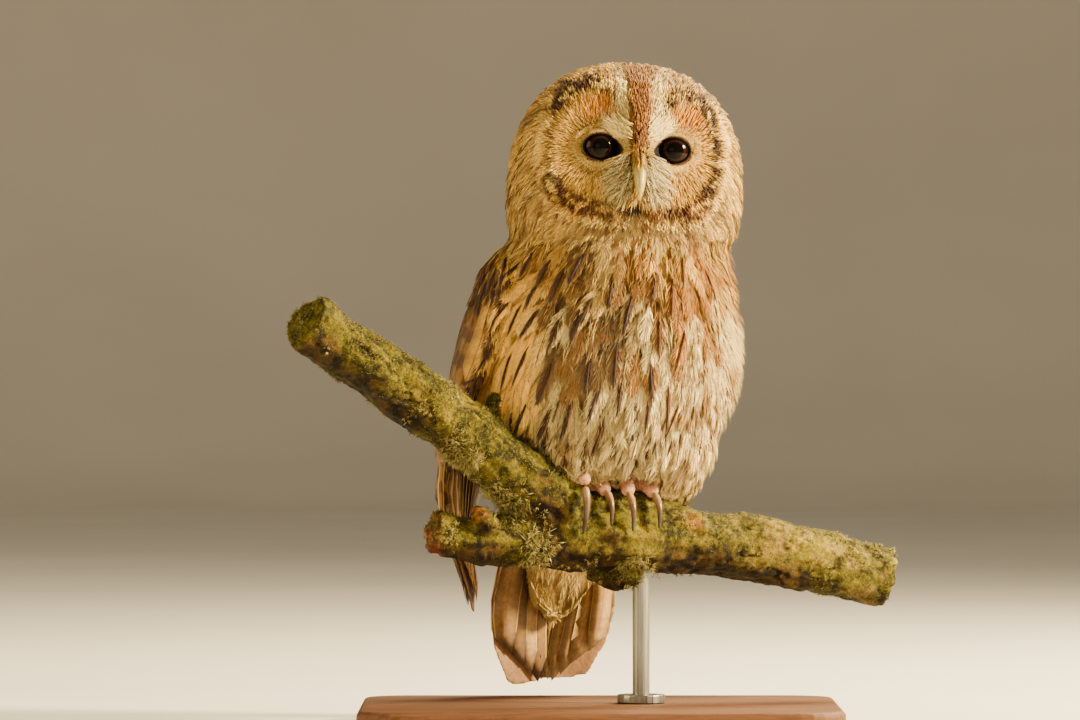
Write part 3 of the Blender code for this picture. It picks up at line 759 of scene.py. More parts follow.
def vane_material(name, pale_edge, bar_size, soft=False, rim_at=0.86):
    """A flat feather: ground and ragged bars, a shaft or a broad dark streak, barbs and a pale rim."""
    tree, where = new_material(name)
    flow = node(tree, "UVMap", uv_map="vane").outputs[0]
    parts = node(tree, "SeparateXYZ", {0: flow})
    across, along = sums(tree, "ABSOLUTE", parts.outputs[0]), parts.outputs[1]
    look = (420.0, 0.45, -3.5, 26.0) if soft else (120.0, 0.12, -16.0, 220.0)
    rag_scale, rag_depth, barb_slant, barb_count = look
    rag = sums(tree, "SUBTRACT", noise(tree, where, rag_scale, 4.0, 0.65), 0.5)
    bent = sums(tree, "MULTIPLY_ADD", across, -0.03, along)
    bent = sums(tree, "MULTIPLY_ADD", rag, rag_depth, bent)
    wave = sums(tree, "SINE", sums(tree, "MULTIPLY", bent, math.tau / bar_size))
    bars = ramp(tree, sums(tree, "MULTIPLY_ADD", wave, 0.5, 0.5), ((0.42, 0.0), (0.6, 1.0)))
    if soft:
        inner = ramp(tree, sums(tree, "ADD", across, rag), ((0.1, 0.3), (0.35, 1.0)))
        bars = sums(tree, "MULTIPLY", bars, inner)
    bars = sums(tree, "MULTIPLY", bars, attribute(tree, "barred", "Fac"))
    colour = blend(tree, bars, attribute(tree, "tint"), attribute(tree, "mark"))
    slant = sums(tree, "MULTIPLY_ADD", across, barb_slant, sums(tree, "MULTIPLY", along, barb_count))
    lines = node(tree, "CombineXYZ", {0: slant, 1: sums(tree, "MULTIPLY", across, 1.5)}).outputs[0]
    barbs = noise(tree, lines, 1.0, 3.0)
    colour = toned(tree, colour, barbs, ((0.25, 0.74), (0.75, 1.2)))
    colour = toned(tree, colour, noise(tree, where, 420.0), ((0.35, 0.8), (0.65, 1.12)))
    rim = ramp(tree, across, ((rim_at, 0.0), (rim_at + 0.1, pale_edge)))
    colour = blend(tree, rim, colour, CREAM)
    streak = attribute(tree, "streak", "Fac")
    if soft:
        taper = ramp(tree, along, ((0.1, 0.0), (0.35, 0.3), (0.8, 0.26), (1.0, 0.1)))
        edge = sums(tree, "SUBTRACT", sums(tree, "MULTIPLY", streak, taper), across)
        edge = sums(tree, "ADD", edge, sums(tree, "MULTIPLY", rag, 0.5))
        shaft = sums(tree, "MULTIPLY_ADD", edge, 9.0, 0.3, clamp=True)
        dark = blend(tree, ramp(tree, rag, ((0.0, 0.2), (0.2, 0.9))), DARK, UMBER)
    else:
        shaft = sums(tree, "MULTIPLY", ramp(tree, across, ((0.03, 1.0), (0.09, 0.0))), streak)
        dark = RUFOUS * 0.6
    colour = blend(tree, shaft, colour, dark)
    rough = ramp(tree, barbs, ((0.2, 0.5), (0.8, 0.75)))
    others = {"Specular IOR Level": 0.25, "Sheen Weight": 0.05}
    return surfaced(name, colour, rough, bump(tree, barbs, 0.5, 0.0003), others)


soft_plumage = plumage("soft_plumage")
fine_plumage = plumage("fine_plumage", 0.05)
contour_webs = vane_material("contour_webs", 0.15, 0.34, True)
wing_vanes = vane_material("wing_vanes", 0.22, 0.17)
quill_vanes = vane_material("quill_vanes", 0.8, 0.2, rim_at=0.6)
tail_vanes = vane_material("tail_vanes", 0.8, 0.2, rim_at=0.9)
print("plumage materials ready")

# %% [markdown]
# The face is painted as one field of place: a cream and buff disc with orange above the eyes, a
# white V from the root of the bill over both eyes, a rufous stripe up the forehead, and a scaly
# dark ring. Skin and coat both read it, so they carry the same markings.

# %% Colours of the head
def spot_at(face, x, z, wide, high):
    return np.exp(-(((face[:, 0] - x) / wide) ** 2) - ((face[:, 2] - z) / high) ** 2)


RING = (
    # strength, half width, places on the face from the top down
    (0.95, 3.8, ((-9, 54), (-13, 62), (-27, 66), (-38, 62), (-47, 51))),
    (0.45, 2.6, ((-47, 51), (-51, 36), (-51, 16), (-49, 6))),
    (1.0, 5.2, ((-49, 8), (-46, 0), (-37, -5), (-24, -9), (-10, -10))),
    (0.9, 4.2, ((14, 51), (20, 58), (30, 61), (38, 58), (44, 48))),
    (0.75, 3.0, ((44, 48), (47.5, 32), (47.5, 16), (43, 5))),
    (1.0, 5.0, ((43, 5), (38, -5), (27, -10), (10, -10))),
)


def ring_band(face):
    """How dark the disc's scaly ring is at each place: strokes, broken halfway up on the right."""
    spot, band = face[:, (0, 2)], np.zeros(len(face))
    for strength, half, line in RING:
        line = np.array(line, float)
        for a, b in zip(line, line[1:]):
            share = np.clip((spot - a) @ (b - a) / ((b - a) ** 2).sum(), 0, 1)[:, None]
            gap = np.linalg.norm(spot - a - share * (b - a), axis=1)
            band = np.maximum(band, strength * bell(gap, half))
    return band * on_face(face)


def head_tint(points):
    face = local(HEAD, points)
    x, y, z = face.T
    coarse, fine, tiny = grain(face, 9, 3), grain(face, 4.2, 4), grain(face, 2.4, 5)
    front = on_face(face)
    out, turn = disc(face)
    # Crown, nape and sides of the head: mottled rufous and cream over buff
    colour = mixed(BUFF, CREAM, rise(coarse, -0.4, 0.6) * 0.8)
    sides = rise(np.abs(x), 44, 60) * rise(z, 70, 45)
    sides = sides * rise(y, 30, 0)
    crown = rise(z, 46, 66) * (1 - sides) + rise(y, 0, 22)
    colour = mixed(colour, RUFOUS * 0.7 + BUFF * 0.3, rise(y, 0, 26) * 0.75)
    colour = mixed(colour, RUFOUS, np.clip(crown, 0, 1) * rise(coarse + 0.6 * fine, -0.3, 0.6) * 0.75)
    colour = mixed(colour, DARK, np.clip(crown, 0, 1) * rise(fine + 0.5 * tiny, 0.25, 0.9) * 0.7)
    colour = mixed(colour, GOLD * 0.25 + CREAM * 0.85, sides * 0.9)
    colour = mixed(colour, UMBER * 0.6 + GOLD * 0.06, sides * rise(fine + tiny, 0.1, 0.6) * 0.85)
    # The disc itself
    inner = GOLD * 0.4 + CREAM * 0.5
    field = mixed(inner, BUFF, rise(out, 0.45, 0.85) * 0.6)
    field = mixed(field, GOLD, rise(-z, -18, 5) * 0.5)
    field = mixed(field, UMBER, (0.5 + 0.5 * np.sin(out * 42 + 2 * coarse)) * 0.12)
    orange = spot_at(face, -21.5, 51, 12, 8.5) + spot_at(face, 29, 48, 15, 8)
    field = mixed(field, ORANGE * 0.75 + GOLD * 0.2, np.clip(orange * (1.2 + 0.25 * fine), 0, 1) * 0.95)
    field = mixed(field, BUFF * 0.75 + ORANGE * 0.12, rise(x, 10, 24) * rise(z, 44, 30) * 0.55)
    # Painted shade: umber under the brows above both eyes, and under the owl's right eye.
    painted_eye_shade = spot_at(face, -29, 41, 9, 4) + spot_at(face, 33, 41, 8, 4) + spot_at(face, -26, 14, 12, 3.5)
    field = mixed(field, UMBER, np.clip(painted_eye_shade, 0, 1) * 0.35)
    colour = mixed(colour, field, front * rise(out, 1.12, 0.98))
    # Scaly ring
    band = ring_band(face)
    scale = rise(tiny + 0.7 * fine, -1.1, 0.0)
    low = rise(z, 8, -4)
    ring_colour = mixed(mixed(CREAM, ORANGE, 0.3 * low), DARK * 0.5 + UMBER * 0.4, scale)
    ring_colour = mixed(ring_colour, RUFOUS, 0.25 * low + 0.1 * rise(turn, 40, 80))
    colour = mixed(colour, ring_colour, np.clip(band * (1.8 + 0.5 * low), 0, 1))
    # Cream brows and crests, and lores darkened with painted shade among the bristles
    lift = z - 38 - 0.3 * (np.abs(x) - 5)
    brow = bell(lift, 5.6) * rise(np.abs(x), 3.5, 6) * rise(np.abs(x), 25, 17)
    crest = bell(np.abs(x - 0.8) - 10.5, 4.4) * rise(z, 38, 44) * rise(z, 80, 68) * (0.8 + 0.3 * fine)
    colour = mixed(colour, WHITE * 0.9 + CREAM * 0.15, np.clip(brow * 1.3 + crest * 1.1, 0, 1) * front)
    lores = np.exp(-(((np.abs(x) - 8) / 6) ** 2) - ((z - 13) / 10) ** 2)
    fan = np.exp(-(((np.abs(x) - 15) / 6) ** 2) - ((z - 3) / 9) ** 2)
    colour = mixed(colour, WHITE * 0.4 + CREAM * 0.5, fan * 0.7 * front)
    # Painted shade: the lores, under the bristles, are darkened with umber and ash.
    colour = mixed(colour, ASH * 0.12 + UMBER * 0.3, np.clip(lores * 1.3, 0, 1) * 0.9 * front)
    # Stripe up the forehead
    wide = 4.1 + 2.6 * rise(z, 48, 68)
    stripe = bell(x - 0.8, wide) * rise(z, 27, 33) * front
    speck = grain(face, 1.9, 6)
    stripe_colour = mixed(RUFOUS * 0.8, UMBER * 0.6, rise(speck + 0.5 * fine, -0.4, 0.4) * 0.9)
    stripe_colour = mixed(stripe_colour, BUFF * 0.9, rise(tiny - 0.6 * speck, 0.3, 1.0) * 0.6)
    colour = mixed(colour, stripe_colour, np.clip(stripe * 1.45, 0, 1))
    # Chin spot and pale bib
    chin = spot_at(face, -1, -8.5, 9, 5.5)
    colour = mixed(colour, DARK, np.clip(chin * 1.15, 0, 1) * front)
    colour = mixed(colour, RUFOUS, np.clip(spot_at(face, 9, -8, 5, 5), 0, 1) * 0.7 * front)
    bib = rise(z, -10, -18) * rise(np.abs(x), 48, 34) * rise(y, -4, -24)
    bib_colour = mixed(CREAM, ASH * 0.8, rise(fine, -0.5, 0.6) * 0.8)
    bib_colour = mixed(bib_colour, UMBER, rise(tiny + fine, 0.5, 1.3) * 0.5)
    return mixed(colour, bib_colour, bib * (1 - band))


# %% [markdown]
# The breast is cream with dark shaft streaks and rufous bars. It is more orange and browner under
# the bib, gold on the owl's right flank, and palest on the belly. The flank's gold is mixed brighter
# than any feather can be: painted light, as of light glowing through the lit flank.

# %% Colours of the body, wings and tail
def body_ground(points):
    """The feather's ground colour, its bar colour, and how strongly it is barred and streaked."""
    wide, high = points[:, 0] / MM, points[:, 2] / MM - 138
    spot = local(OWL, points)
    drawn = np.stack((spot[:, 0] + 0.2 * spot[:, 2], spot[:, 1] * 0.5, spot[:, 2] * 0.36), axis=1)
    blotch = grain(drawn, 7.5, 7) + 0.35 * grain(drawn, 3.5, 9)
    coarse, fine = grain(spot, 16, 7), grain(spot, 7, 8)
    count = len(points)
    flat = lambda colour: np.tile(colour, (count, 1))
    chest = rise(high, 96, 124)
    # The owl's right flank is gold, mixed brighter than any feather can be: painted light, as of light
    # glowing through the lit flank.
    golden_lit_flank = rise(wide, -26, -46) * rise(high, 22, 45) * rise(high, 130, 106)
    left = rise(wide, 30, 52)
    low = rise(high, 6, -14)
    patch = np.exp(-(((wide - 3) / 9) ** 2) - ((high - 133) / 13) ** 2)
    ground = mixed(flat(CREAM), WHITE * 1.05, rise(high, 118, 88) * 0.95 * (1 - golden_lit_flank))
    ground = mixed(ground, BUFF * 0.75 + GOLD * 0.22, chest * 0.85 * (1 - 0.3 * left))
    ground = mixed(ground, GOLD * 0.9 + CREAM * 0.4, golden_lit_flank)
    ground = mixed(ground, ASH * 0.75, rise(high, 75, 35) * 0.7 * rise(wide, 45, 15) * (1 - golden_lit_flank))
    brown = mixed(flat(paint(66, 38, 12)), paint(146, 94, 14), rise(coarse, -0.4, 0.5))
    brown = mixed(brown, paint(172, 108, 12), left * rise(high, 20, 80) * 0.85)
    core = bell(wide + 10, 30) * rise(high, 50, 66) * rise(high, 122, 108)
    dark_patch = np.exp(-(((wide + 13) / 20) ** 2) - ((high - 105) / 17) ** 2)
    brown = mixed(brown, paint(56, 32, 14), dark_patch * 0.75)
    level = -0.1 + 0.45 * rise(high, 70, 35) - 0.3 * chest + 0.95 * golden_lit_flank + 0.1 * left - 0.45 * core
    marked = rise(blotch, level + 0.1, level + 0.32) * (0.9 - 0.3 * rise(high, 60, 30)) * (1 - low)
    ground = mixed(ground, brown, marked)
    ground = mixed(ground, CREAM * 0.6 + ASH * 0.2, np.clip(patch * 1.5, 0, 1) * (1 - 0.6 * marked))
    ground = mixed(ground, CREAM * 0.4 + BUFF * 0.1 + ASH * 0.25, low)
    behind = rise(spot[:, 1], 30, 52) * rise(high, 4, 26)
    back = mixed(flat(RUFOUS * 0.75 + BUFF * 0.2), UMBER * 0.9, rise(fine, -0.3, 0.7) * 0.8)
    ground = mixed(ground, back, behind)
    bars = np.clip(0.4 + 0.55 * rise(high, 40, 75) + 0.5 * left - 0.85 * golden_lit_flank - patch, 0, 1) * (1 - low)
    bar = mixed(flat(paint(128, 74, 14)), UMBER, rise(coarse, -0.2, 0.8) * 0.8)
    bar = mixed(bar, paint(176, 96, 16), left * 0.85)
    streak = np.clip(1 - 0.6 * golden_lit_flank - 0.95 * patch, 0, 1) * (1 - low)
    return ground, bar, bars, streak


def wing_tint(points):
    spot = local(OWL, points)
    coarse, fine = grain(spot, 12, 11), grain(spot, 5, 12)
    ground = mixed(UMBER * 0.85, RUFOUS * 0.6 + BUFF * 0.05, rise(coarse, -0.5, 0.7))
    ground = mixed(ground, UMBER * 0.75, rise(spot[:, 2], 20, -20) * 0.6)
    front = rise(spot[:, 1], 20, -5) * rise(spot[:, 2], 20, 80)
    ground = mixed(ground, BUFF, rise(fine, 0.1, 0.9) * (0.15 + 0.6 * front))
    return mixed(ground, DARK, rise(fine, -0.3, -1.0) * 0.6)


def tail_tint(points):
    spot = local(OWL, points)
    fine = grain(spot, 9, 14)
    ground = mixed(paint(168, 132, 84), paint(112, 82, 48), rise(fine, -0.4, 0.6))
    return mixed(ground, paint(206, 154, 100), rise(spot[:, 2], -72, -100) * 0.75)


def skin_tint(points, region):
    colour = body_ground(points)[0]
    head = region == region_of["head"]
    colour[head] = head_tint(points[head])
    for name in ("wing_left", "wing_right"):
        own = region == region_of[name]
        colour[own] = wing_tint(points[own])
    own = region == region_of["tail"]
    behind = rise(owl_form.normal[own] @ turned(OWL, (0.0, 1.0, 0.0)), -0.3, 0.2)
    colour[own] = mixed(tail_tint(points[own]), RUFOUS * 0.8, behind)
    return colour


# The skin's tint is the plumage's colour darkened to 0.7: painted shade between the strands.
set_colour(skin.data, "tint", owl_form.spread(skin_tint(owl_form.at, REGION) * 0.7, 1))
print("skin painted")

# %% [markdown]
# Skin under feathers is thin, pinkish and set with follicles. It mostly shows as shade between the
# strands, so its tint follows the plumage above it, darkened as painted shade, and its bump is a
# field of small goose pimples.

# %% Skin material
def skin_finish():
    tree, where = new_material("feathered_skin")
    colour = toned(tree, attribute(tree, "tint"), noise(tree, where, 500.0), ((0.3, 0.7), (0.7, 1.05)))
    colour = blend(tree, 0.05, colour, paint(190, 130, 110))
    pores = node(tree, "TexVoronoi", {"Vector": where, "Scale": 420.0}).outputs["Distance"]
    rough = ramp(tree, pores, ((0.0, 0.6), (1.0, 0.85)))
    return surfaced("feathered_skin", colour, rough, bump(tree, pores, 0.4, 0.0004))


skin.data.materials.clear()
skin.data.materials.append(skin_finish())
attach(skin, "root")
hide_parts(*FLESH)

# %% [markdown]
# A contour feather is a shaft with two rows of barbs that leave it at a slant and bend towards the
# tip. Each barb is one fine lock here, so the edge of a feather is soft, and the shaft lock carries
# the dark streak. The whole feather rises from the skin at its root to the coat's face at its tip.

# %% Contour feathers
def along_path(path, share):
    """Values of (F, K, ...) paths at shares (F, B), by straight steps."""
    steps = path.shape[1] - 1
    spot = np.clip(share, 0, 1) * steps
    low = np.minimum(spot.astype(int), steps - 1)
    part = (spot - low)[..., None]
    row = np.arange(len(path))[:, None]
    return path[row, low] * (1 - part) + path[row, low + 1] * part


def lifted(places, normals, depths, lift, power=0.5):
    """Paths raised off the skin: at the skin at their root, near the form's face at their tip."""
    share = np.linspace(0, 1, places.shape[1]) ** power
    height = depths * (1 - share * 0.92) - lift[:, None] * share
    return places - normals * height[..., None]


def contour(roots, length, half, paint_vane, barbs=20, rings=2, shaft=0.6, lift=0.0, stray=0.12, seed=1,
            steps=5, spread_out=0.5, fat=0.25, cup=0.3, free=0.0, begin=(0.02, 0.52), power=0.5, tone=0.15):
    """Sets of strands for soft feathers. paint_vane(feather rows, s, x) gives colours."""
    index, root, weights = roots
    dice = np.random.default_rng(seed)
    count = len(root)
    length = length * dice.uniform(0.88, 1.12, count)
    half = half * dice.uniform(0.88, 1.12, count)
    places, normals, depths = comb(index, root, length, steps, stray, seed)
    straight = root[:, None] + (places[:, 1] - root)[:, None] * np.arange(steps + 1)[None, :, None]
    places = places * (1 - free) + straight * free
    path = lifted(places, normals, depths, lift + dice.normal(0, 0.25, count) * MM, power)
    spots = bake_spot(index, weights)
    pairs = np.arange(barbs) // 2
    sign = np.where(np.arange(barbs) % 2, 1.0, -1.0)
    start = begin[0] + (begin[1] - begin[0]) * pairs / max(1, barbs // 2 - 1)
    start = np.clip(start + dice.normal(0, 0.025, (count, barbs)), 0.0, 0.85)
    end = np.minimum(start + spread_out * dice.uniform(0.8, 1.25, (count, barbs)), 1.04)
    wide = half[:, None] * np.sin(np.pi * np.clip(end * 0.86 + 0.06, 0, 0.97)) ** 0.7
    wide = wide * dice.uniform(0.7, 1.12, (count, barbs)) * sign
    share = np.linspace(0, 1, rings + 2)
    s = start[..., None] + (end - start)[..., None] * share
    x = wide[..., None] * (1 - (1 - share) ** 1.45)
    flat = s.reshape(count, -1)
    middle, up = along_path(path, flat), unit(along_path(normals, flat))
    ahead = unit(along_path(np.gradient(path, axis=1), flat))
    side = np.cross(up, ahead)
    off = x.reshape(count, -1)[..., None]
    sag = (off / half[:, None, None]) ** 2 * cup * MM
    over = np.maximum(flat - 1, 0)[..., None] * length[:, None, None]
    jitter = (dice.normal(0, 0.22, (count, barbs, 1)) * MM * share).reshape(count, -1, 1)
    line = (middle + side * off - up * (sag - jitter) + ahead * over).reshape(count * barbs, rings + 2, 3)
    row = np.repeat(np.arange(count), barbs)
    sideways = (x / half[:, None, None]).reshape(count * barbs, -1)
    colour = paint_vane(row, s.reshape(count * barbs, -1), sideways)
    colour = colour * dice.uniform(1 - tone, 1 + tone, (count * barbs, 1, 1))
    size = fat * MM * dice.uniform(0.7, 1.25, (count * barbs, 1)) * np.ones(rings + 2)
    up = up.reshape(count * barbs, rings + 2, 3)
    sets = [strands(line, up, size, size, ROUND, colour, np.repeat(spots, barbs, 0))]
    if shaft:
        share = np.tile(np.array((0.05, 0.4, 0.72, 1.0)), (count, 1))
        line = along_path(path, share) + unit(along_path(normals, share)) * 0.35 * MM
        size = np.broadcast_to(shaft, count)[:, None] * MM * np.array((0, 0.8, 1.0, 0))
        colour = paint_vane(np.arange(count), share, share * 0)
        sets.append(strands(line, along_path(normals, share), size, size * 0.6, ROUND, colour, spots))
    columns = getattr(paint_vane, "columns", None)
    if columns is not None:
        share = np.tile(np.linspace(0.0, 0.96, WEB_STATIONS), (count, 1))
        line, up = along_path(path, share), unit(along_path(normals, share))
        width = half[:, None] * 0.72 * np.sin(np.pi * np.linspace(0, 1, WEB_STATIONS) ** 1.3) ** 0.6
        colour = np.repeat(columns[:, None], WEB_STATIONS, 1)
        thick = np.full_like(width, 0.16 * MM)
        WEBS.append(strands(line - up * 0.3 * MM, up, width, thick, FLAT, colour, spots))
    return sets


WEBS = []
WEB_STATIONS = 9


def shown(root, length):
    """Where a body feather is seen: well on the way to its tip."""
    return root + turned(OWL, (-0.08, 0.3, -0.95)) * (0.65 * length)[:, None]


def body_painter(root, length, bold, seed):
    """Colours along and across each body feather."""
    dice = np.random.default_rng(seed)
    ground, bar, bars, streak = body_ground(shown(root, length))
    ground = ground * dice.uniform(0.76, 1.12, (len(root), 1))
    phase = dice.uniform(0, 1, len(root))
    strength = np.where(bold, 0.5, dice.uniform(-0.2, 0.6, len(root)).clip(0)) * streak
    bars = bars * np.where(bold, 0.95, dice.uniform(0.4, 1.0, len(root)))

    def colours(row, s, x):
        turns = s * (length[row] / (8.5 * MM))[:, None] + phase[row][:, None] + 0.25 * np.abs(x)
        wave = np.sin(math.tau * turns)
        band = rise(wave, 0.25, 0.75) * rise(np.abs(x), 1.0, 0.6) * rise(s, 0.15, 0.4) * bars[row][:, None]
        colour = mixed(ground[row][:, None] + 0 * s[..., None], bar[row][:, None], band * 0.9)
        rim = rise(np.maximum(np.abs(x), s - 0.2), 0.6, 0.95)
        colour = mixed(colour, WHITE * 0.6 + CREAM * 0.45, rim * 0.45)
        line = bell(x, 0.06 + 0.14 * strength[row][:, None]) * rise(s, 0.2, 0.4)
        line = line * rise(strength, 0.05, 0.4)[row][:, None]
        return mixed(colour, (UMBER * 0.9)[None, None], np.clip(line, 0, 1))

    colours.columns = np.column_stack((ground, bar, bars * 0.8, strength))
    return colours


def streak_painter(root, length, seed):
    """A ragged dark streak: nearly black in the middle, brown at its spurs, rufous on the left side."""
    dice = np.random.default_rng(seed)
    left = rise(shown(root, length)[:, 0] / MM, 20, 55)
    dark = mixed(mixed(DARK * 0.9, UMBER * 0.6, dice.random(len(root))), RUFOUS * 0.7, left * 0.7)
    edge = mixed(UMBER * 1.1, RUFOUS, 0.3 + 0.5 * left)
    return lambda row, s, x: mixed(dark[row][:, None], edge[row][:, None], rise(np.abs(x), 0.3, 1.0))


# %% Breast, belly, back and legs
BODY_PARTS = ("trunk", "neck", "leg_left", "leg_right", "undertail")
BODY_SHARE = np.clip(sum(in_part[name] for name in BODY_PARTS), 0, 1)


def body_size(points):
    """Length and half width of the body's feathers: longer down the belly, shorter on the legs."""
    high = points[:, 2] / MM - 138
    length = 22 + 8 * rise(high, 130, 80) - 9 * rise(high, 34, 14) + 11 * rise(high, 8, -6)
    return length * MM, (4.4 + 1.2 * rise(high, 130, 80)) * MM


AT_HEIGHT = owl_form.at[:, 2] / MM - 138
AT_WIDTH = owl_form.at[:, 0] / MM
BOLD = rise(AT_HEIGHT, -4, 8)


def chosen(roots, mask):
    return tuple(part[mask] for part in roots)


def body_sets(roots, bold, seed):
    """Plain feathers, or longer bold ones with a dark streak laid along the shaft."""
    length, half = body_size(roots[1])
    length, half = (length * 1.3, half * 1.15) if bold else (length, half * 1.1)
    painter = body_painter(roots[1], length, np.full(len(length), bold), seed)
    common = dict(seed=seed, power=0.34, stray=0.1)
    sets = contour(roots, length, half, painter, barbs=30, lift=0.8 * MM if bold else 0.0, shaft=0.25,
                   begin=(0.16, 0.76), spread_out=0.3, fat=0.23, tone=0.1, **common)
    if bold:
        place = shown(roots[1], length)
        broad = body_ground(place)[3]
        wide = (0.7 + 1.9 * broad * rise(np.abs(place[:, 0] / MM + 8), 62, 22)) * MM
        kept = broad > 0.25
        dark = streak_painter(roots[1][kept], length[kept], seed + 5)
        sets += contour(chosen(roots, kept), length[kept], wide[kept], dark, barbs=14, rings=1, lift=1.5 * MM,
                        shaft=0.8, begin=(0.28, 0.7), spread_out=0.3, fat=0.4, cup=0.1, **common)
    return sets


ground_roots = sow(BODY_SHARE, 5.8 * MM, 21, stretch=0.42)
bold_roots = sow(BODY_SHARE * BOLD, 8.6 * MM, 22, stretch=0.38)


def body_zones(points):
    spot = local(OWL, points)
    front = spot[:, 1] < 34
    return {
        "coat_breast": front & (spot[:, 2] > 80),
        "coat_belly": front & (spot[:, 2] <= 80) & (spot[:, 2] > 32),
        "coat_legs": front & (spot[:, 2] <= 32),
        "coat_mantle": ~front & (spot[:, 2] > 62),
        "coat_rump": ~front & (spot[:, 2] <= 62),
    }


bold_zones = body_zones(bold_roots[1])
for name, zone in body_zones(ground_roots[1]).items():
    sets = body_sets(chosen(ground_roots, zone), False, 31)
    bold = chosen(bold_roots, bold_zones[name])
    if len(bold[1]):
        sets += body_sets(bold, True, 32)
    coat_piece(name, sets, soft_plumage, "body_feathers")
print("body feathers:", len(ground_roots[1]), "plain,", len(bold_roots[1]), "streaked")

# %% [markdown]
# Loose filaments lie over the contour feathers and blur their edges, as they do on a living owl, and
# longer plumes stand off the flank and hang over the toes. Their tips leave the body's face.

# %% Loose filaments and plumes
LOCK_STATIONS = 4


def filaments(roots, length, size, seed, tint, lift=0.0, stray=0.16):
    """Single fine locks along the lie, each with the colours of the places that it lies over."""
    index, root, weights = roots
    dice = np.random.default_rng(seed)
    count = len(root)
    length = length * dice.uniform(0.75, 1.2, count)
    places, normals, depths = comb(index, root, length, LOCK_STATIONS - 1, stray, seed)
    path = lifted(places, normals, depths, lift + dice.normal(0, 0.2, count) * MM)
    # Each lock is painted darker at its root, as painted shade, and a little paler at its tip, as a painted
    # highlight.
    tone = dice.uniform(0.82, 1.16, (count, 1, 1)) * np.linspace(0.72, 1.06, LOCK_STATIONS)[None, :, None]
    colour = tint(places.reshape(-1, 3)).reshape(count, LOCK_STATIONS, 3) * tone
    width = size * dice.uniform(0.7, 1.3, (count, 1)) * np.ones(LOCK_STATIONS)
    return [strands(path, normals, width, width, ROUND, colour, bake_spot(index, weights))]


def body_tint(points):
    return body_ground(points)[0]


down_roots = sow(BODY_SHARE, 1.9 * MM, 23, crowd=3.0, stretch=0.6)
down = filaments(down_roots, 16 * MM, 0.15 * MM, 24, body_tint, 0.8 * MM, 0.16)
coat_piece("coat_down", down, soft_plumage, "body_feathers")

FRONTAL = rise(local(OWL, owl_form.at)[:, 1], 40, 20)


def plumes(share, spacing, length, half, lift, free, seed):
    roots = sow(np.clip(share, 0, 1), spacing, seed)
    count = len(roots[1])
    painter = body_painter(roots[1], np.full(count, length), np.full(count, False), seed)
    return contour(roots, np.full(count, length), np.full(count, half), painter, barbs=22, shaft=0.25,
                   lift=lift, seed=seed, stray=0.25, free=free, fat=0.24, begin=(0.1, 0.66), spread_out=0.45)


flank = BODY_SHARE * FRONTAL * rise(AT_WIDTH, 46, 60) * rise(AT_HEIGHT, 30, 50) * rise(AT_HEIGHT, 96, 80)
skirt = BODY_SHARE * rise(AT_WIDTH, 0, 30) * rise(AT_HEIGHT, 14, 22) * rise(AT_HEIGHT, 62, 42)
shins = BODY_SHARE * FRONTAL * rise(AT_HEIGHT, 40, 24) * rise(AT_HEIGHT, -12, -4)
sets = plumes(flank, 9 * MM, 24 * MM, 4.5 * MM, 2.5 * MM, 0.8, 25)
sets += plumes(skirt, 6.5 * MM, 27 * MM, 5 * MM, 2 * MM, 0.72, 26)
sets += plumes(shins, 4.8 * MM, 17 * MM, 4.2 * MM, 1 * MM, 0.55, 27)
sets += plumes(in_part["undertail"] * rise(AT_HEIGHT, -30, -44), 7 * MM, 27 * MM, 4.4 * MM, 0.5 * MM, 0.3, 28)
for share, spacing, lift, seed in (
    (rise(AT_WIDTH, 60, 70) * bell(AT_HEIGHT - 82, 13), 1.7, 6.0, 34),
    (rise(AT_WIDTH, 46, 62) * rise(AT_HEIGHT, 10, 26) * rise(AT_HEIGHT, 150, 120), 3.0, 3.4, 35),
):
    roots = sow(BODY_SHARE * share, spacing * MM, seed)
    sets += filaments(roots, 17.0 * MM, 0.15 * MM, seed, body_tint, lift * MM, 0.35)
coat_piece("coat_plumes", sets, soft_plumage, "body_feathers")
coat_piece("coat_webs", WEBS, contour_webs, "body_feathers", marks=True)

# %% [markdown]
# Head feathers are small and dense. Outside the disc each is a short feather of a few barbs. Inside
# it the webs are so open that single fine filaments show, fanned out from the eyes.

# %% Head
def head_painter(root, tipped):
    ground = head_tint(root)
    dice = np.random.default_rng(41)
    ground = ground * dice.uniform(0.66, 1.2, (len(root), 1))
    tipped = tipped * dice.uniform(0.2, 1.2, len(root))[:, None]

    def colours(row, s, x):
        tip = np.clip(tipped[row], 0, 1)
        base = mixed(ground[row][:, None], CREAM, rise(np.abs(x), 0.4, 1.0) * tip * 0.6)
        return mixed(base, UMBER * 0.8, bell(x, 0.22) * rise(s, 0.1, 0.35) * tip * 0.75)

    return colours


FACE_AT = local(HEAD, owl_form.at)
DISC_OUT = disc(FACE_AT)[0]
in_disc = in_part["head"] * on_face(FACE_AT) * rise(DISC_OUT, 1.1, 1.02) * (off_lids(FACE_AT) > 0.9)
ring_zone = in_part["head"] * rise(ring_band(FACE_AT), 0.15, 0.4)
cap = in_part["head"] * (1 - on_face(FACE_AT) * rise(DISC_OUT, 1.12, 0.98))

cap_roots = sow(cap, 2.7 * MM, 51, crowd=6.0, stretch=0.55)
turned_back = local(HEAD, cap_roots[1])[:, 1] > 2
for name, mask in (("coat_crown", ~turned_back), ("coat_nape", turned_back)):
    roots = chosen(cap_roots, mask)
    wide, back, high = local(HEAD, roots[1]).T
    size = 9 + 5.5 * rise(back, -20, 40) + 5 * rise(-high, -20, 20) + 6 * rise(np.abs(wide), 36, 54)
    sets = contour(roots, size * MM, np.full(len(size), 2.9 * MM), head_painter(roots[1], 0.9),
                   lift=0.7 * MM, barbs=10, rings=1, shaft=0.3, seed=52, steps=3, stray=0.22, fat=0.27,
                   cup=0.2, free=0.14, begin=(0.05, 0.6), tone=0.12)
    coat_piece(name, sets, fine_plumage, "head_feathers")
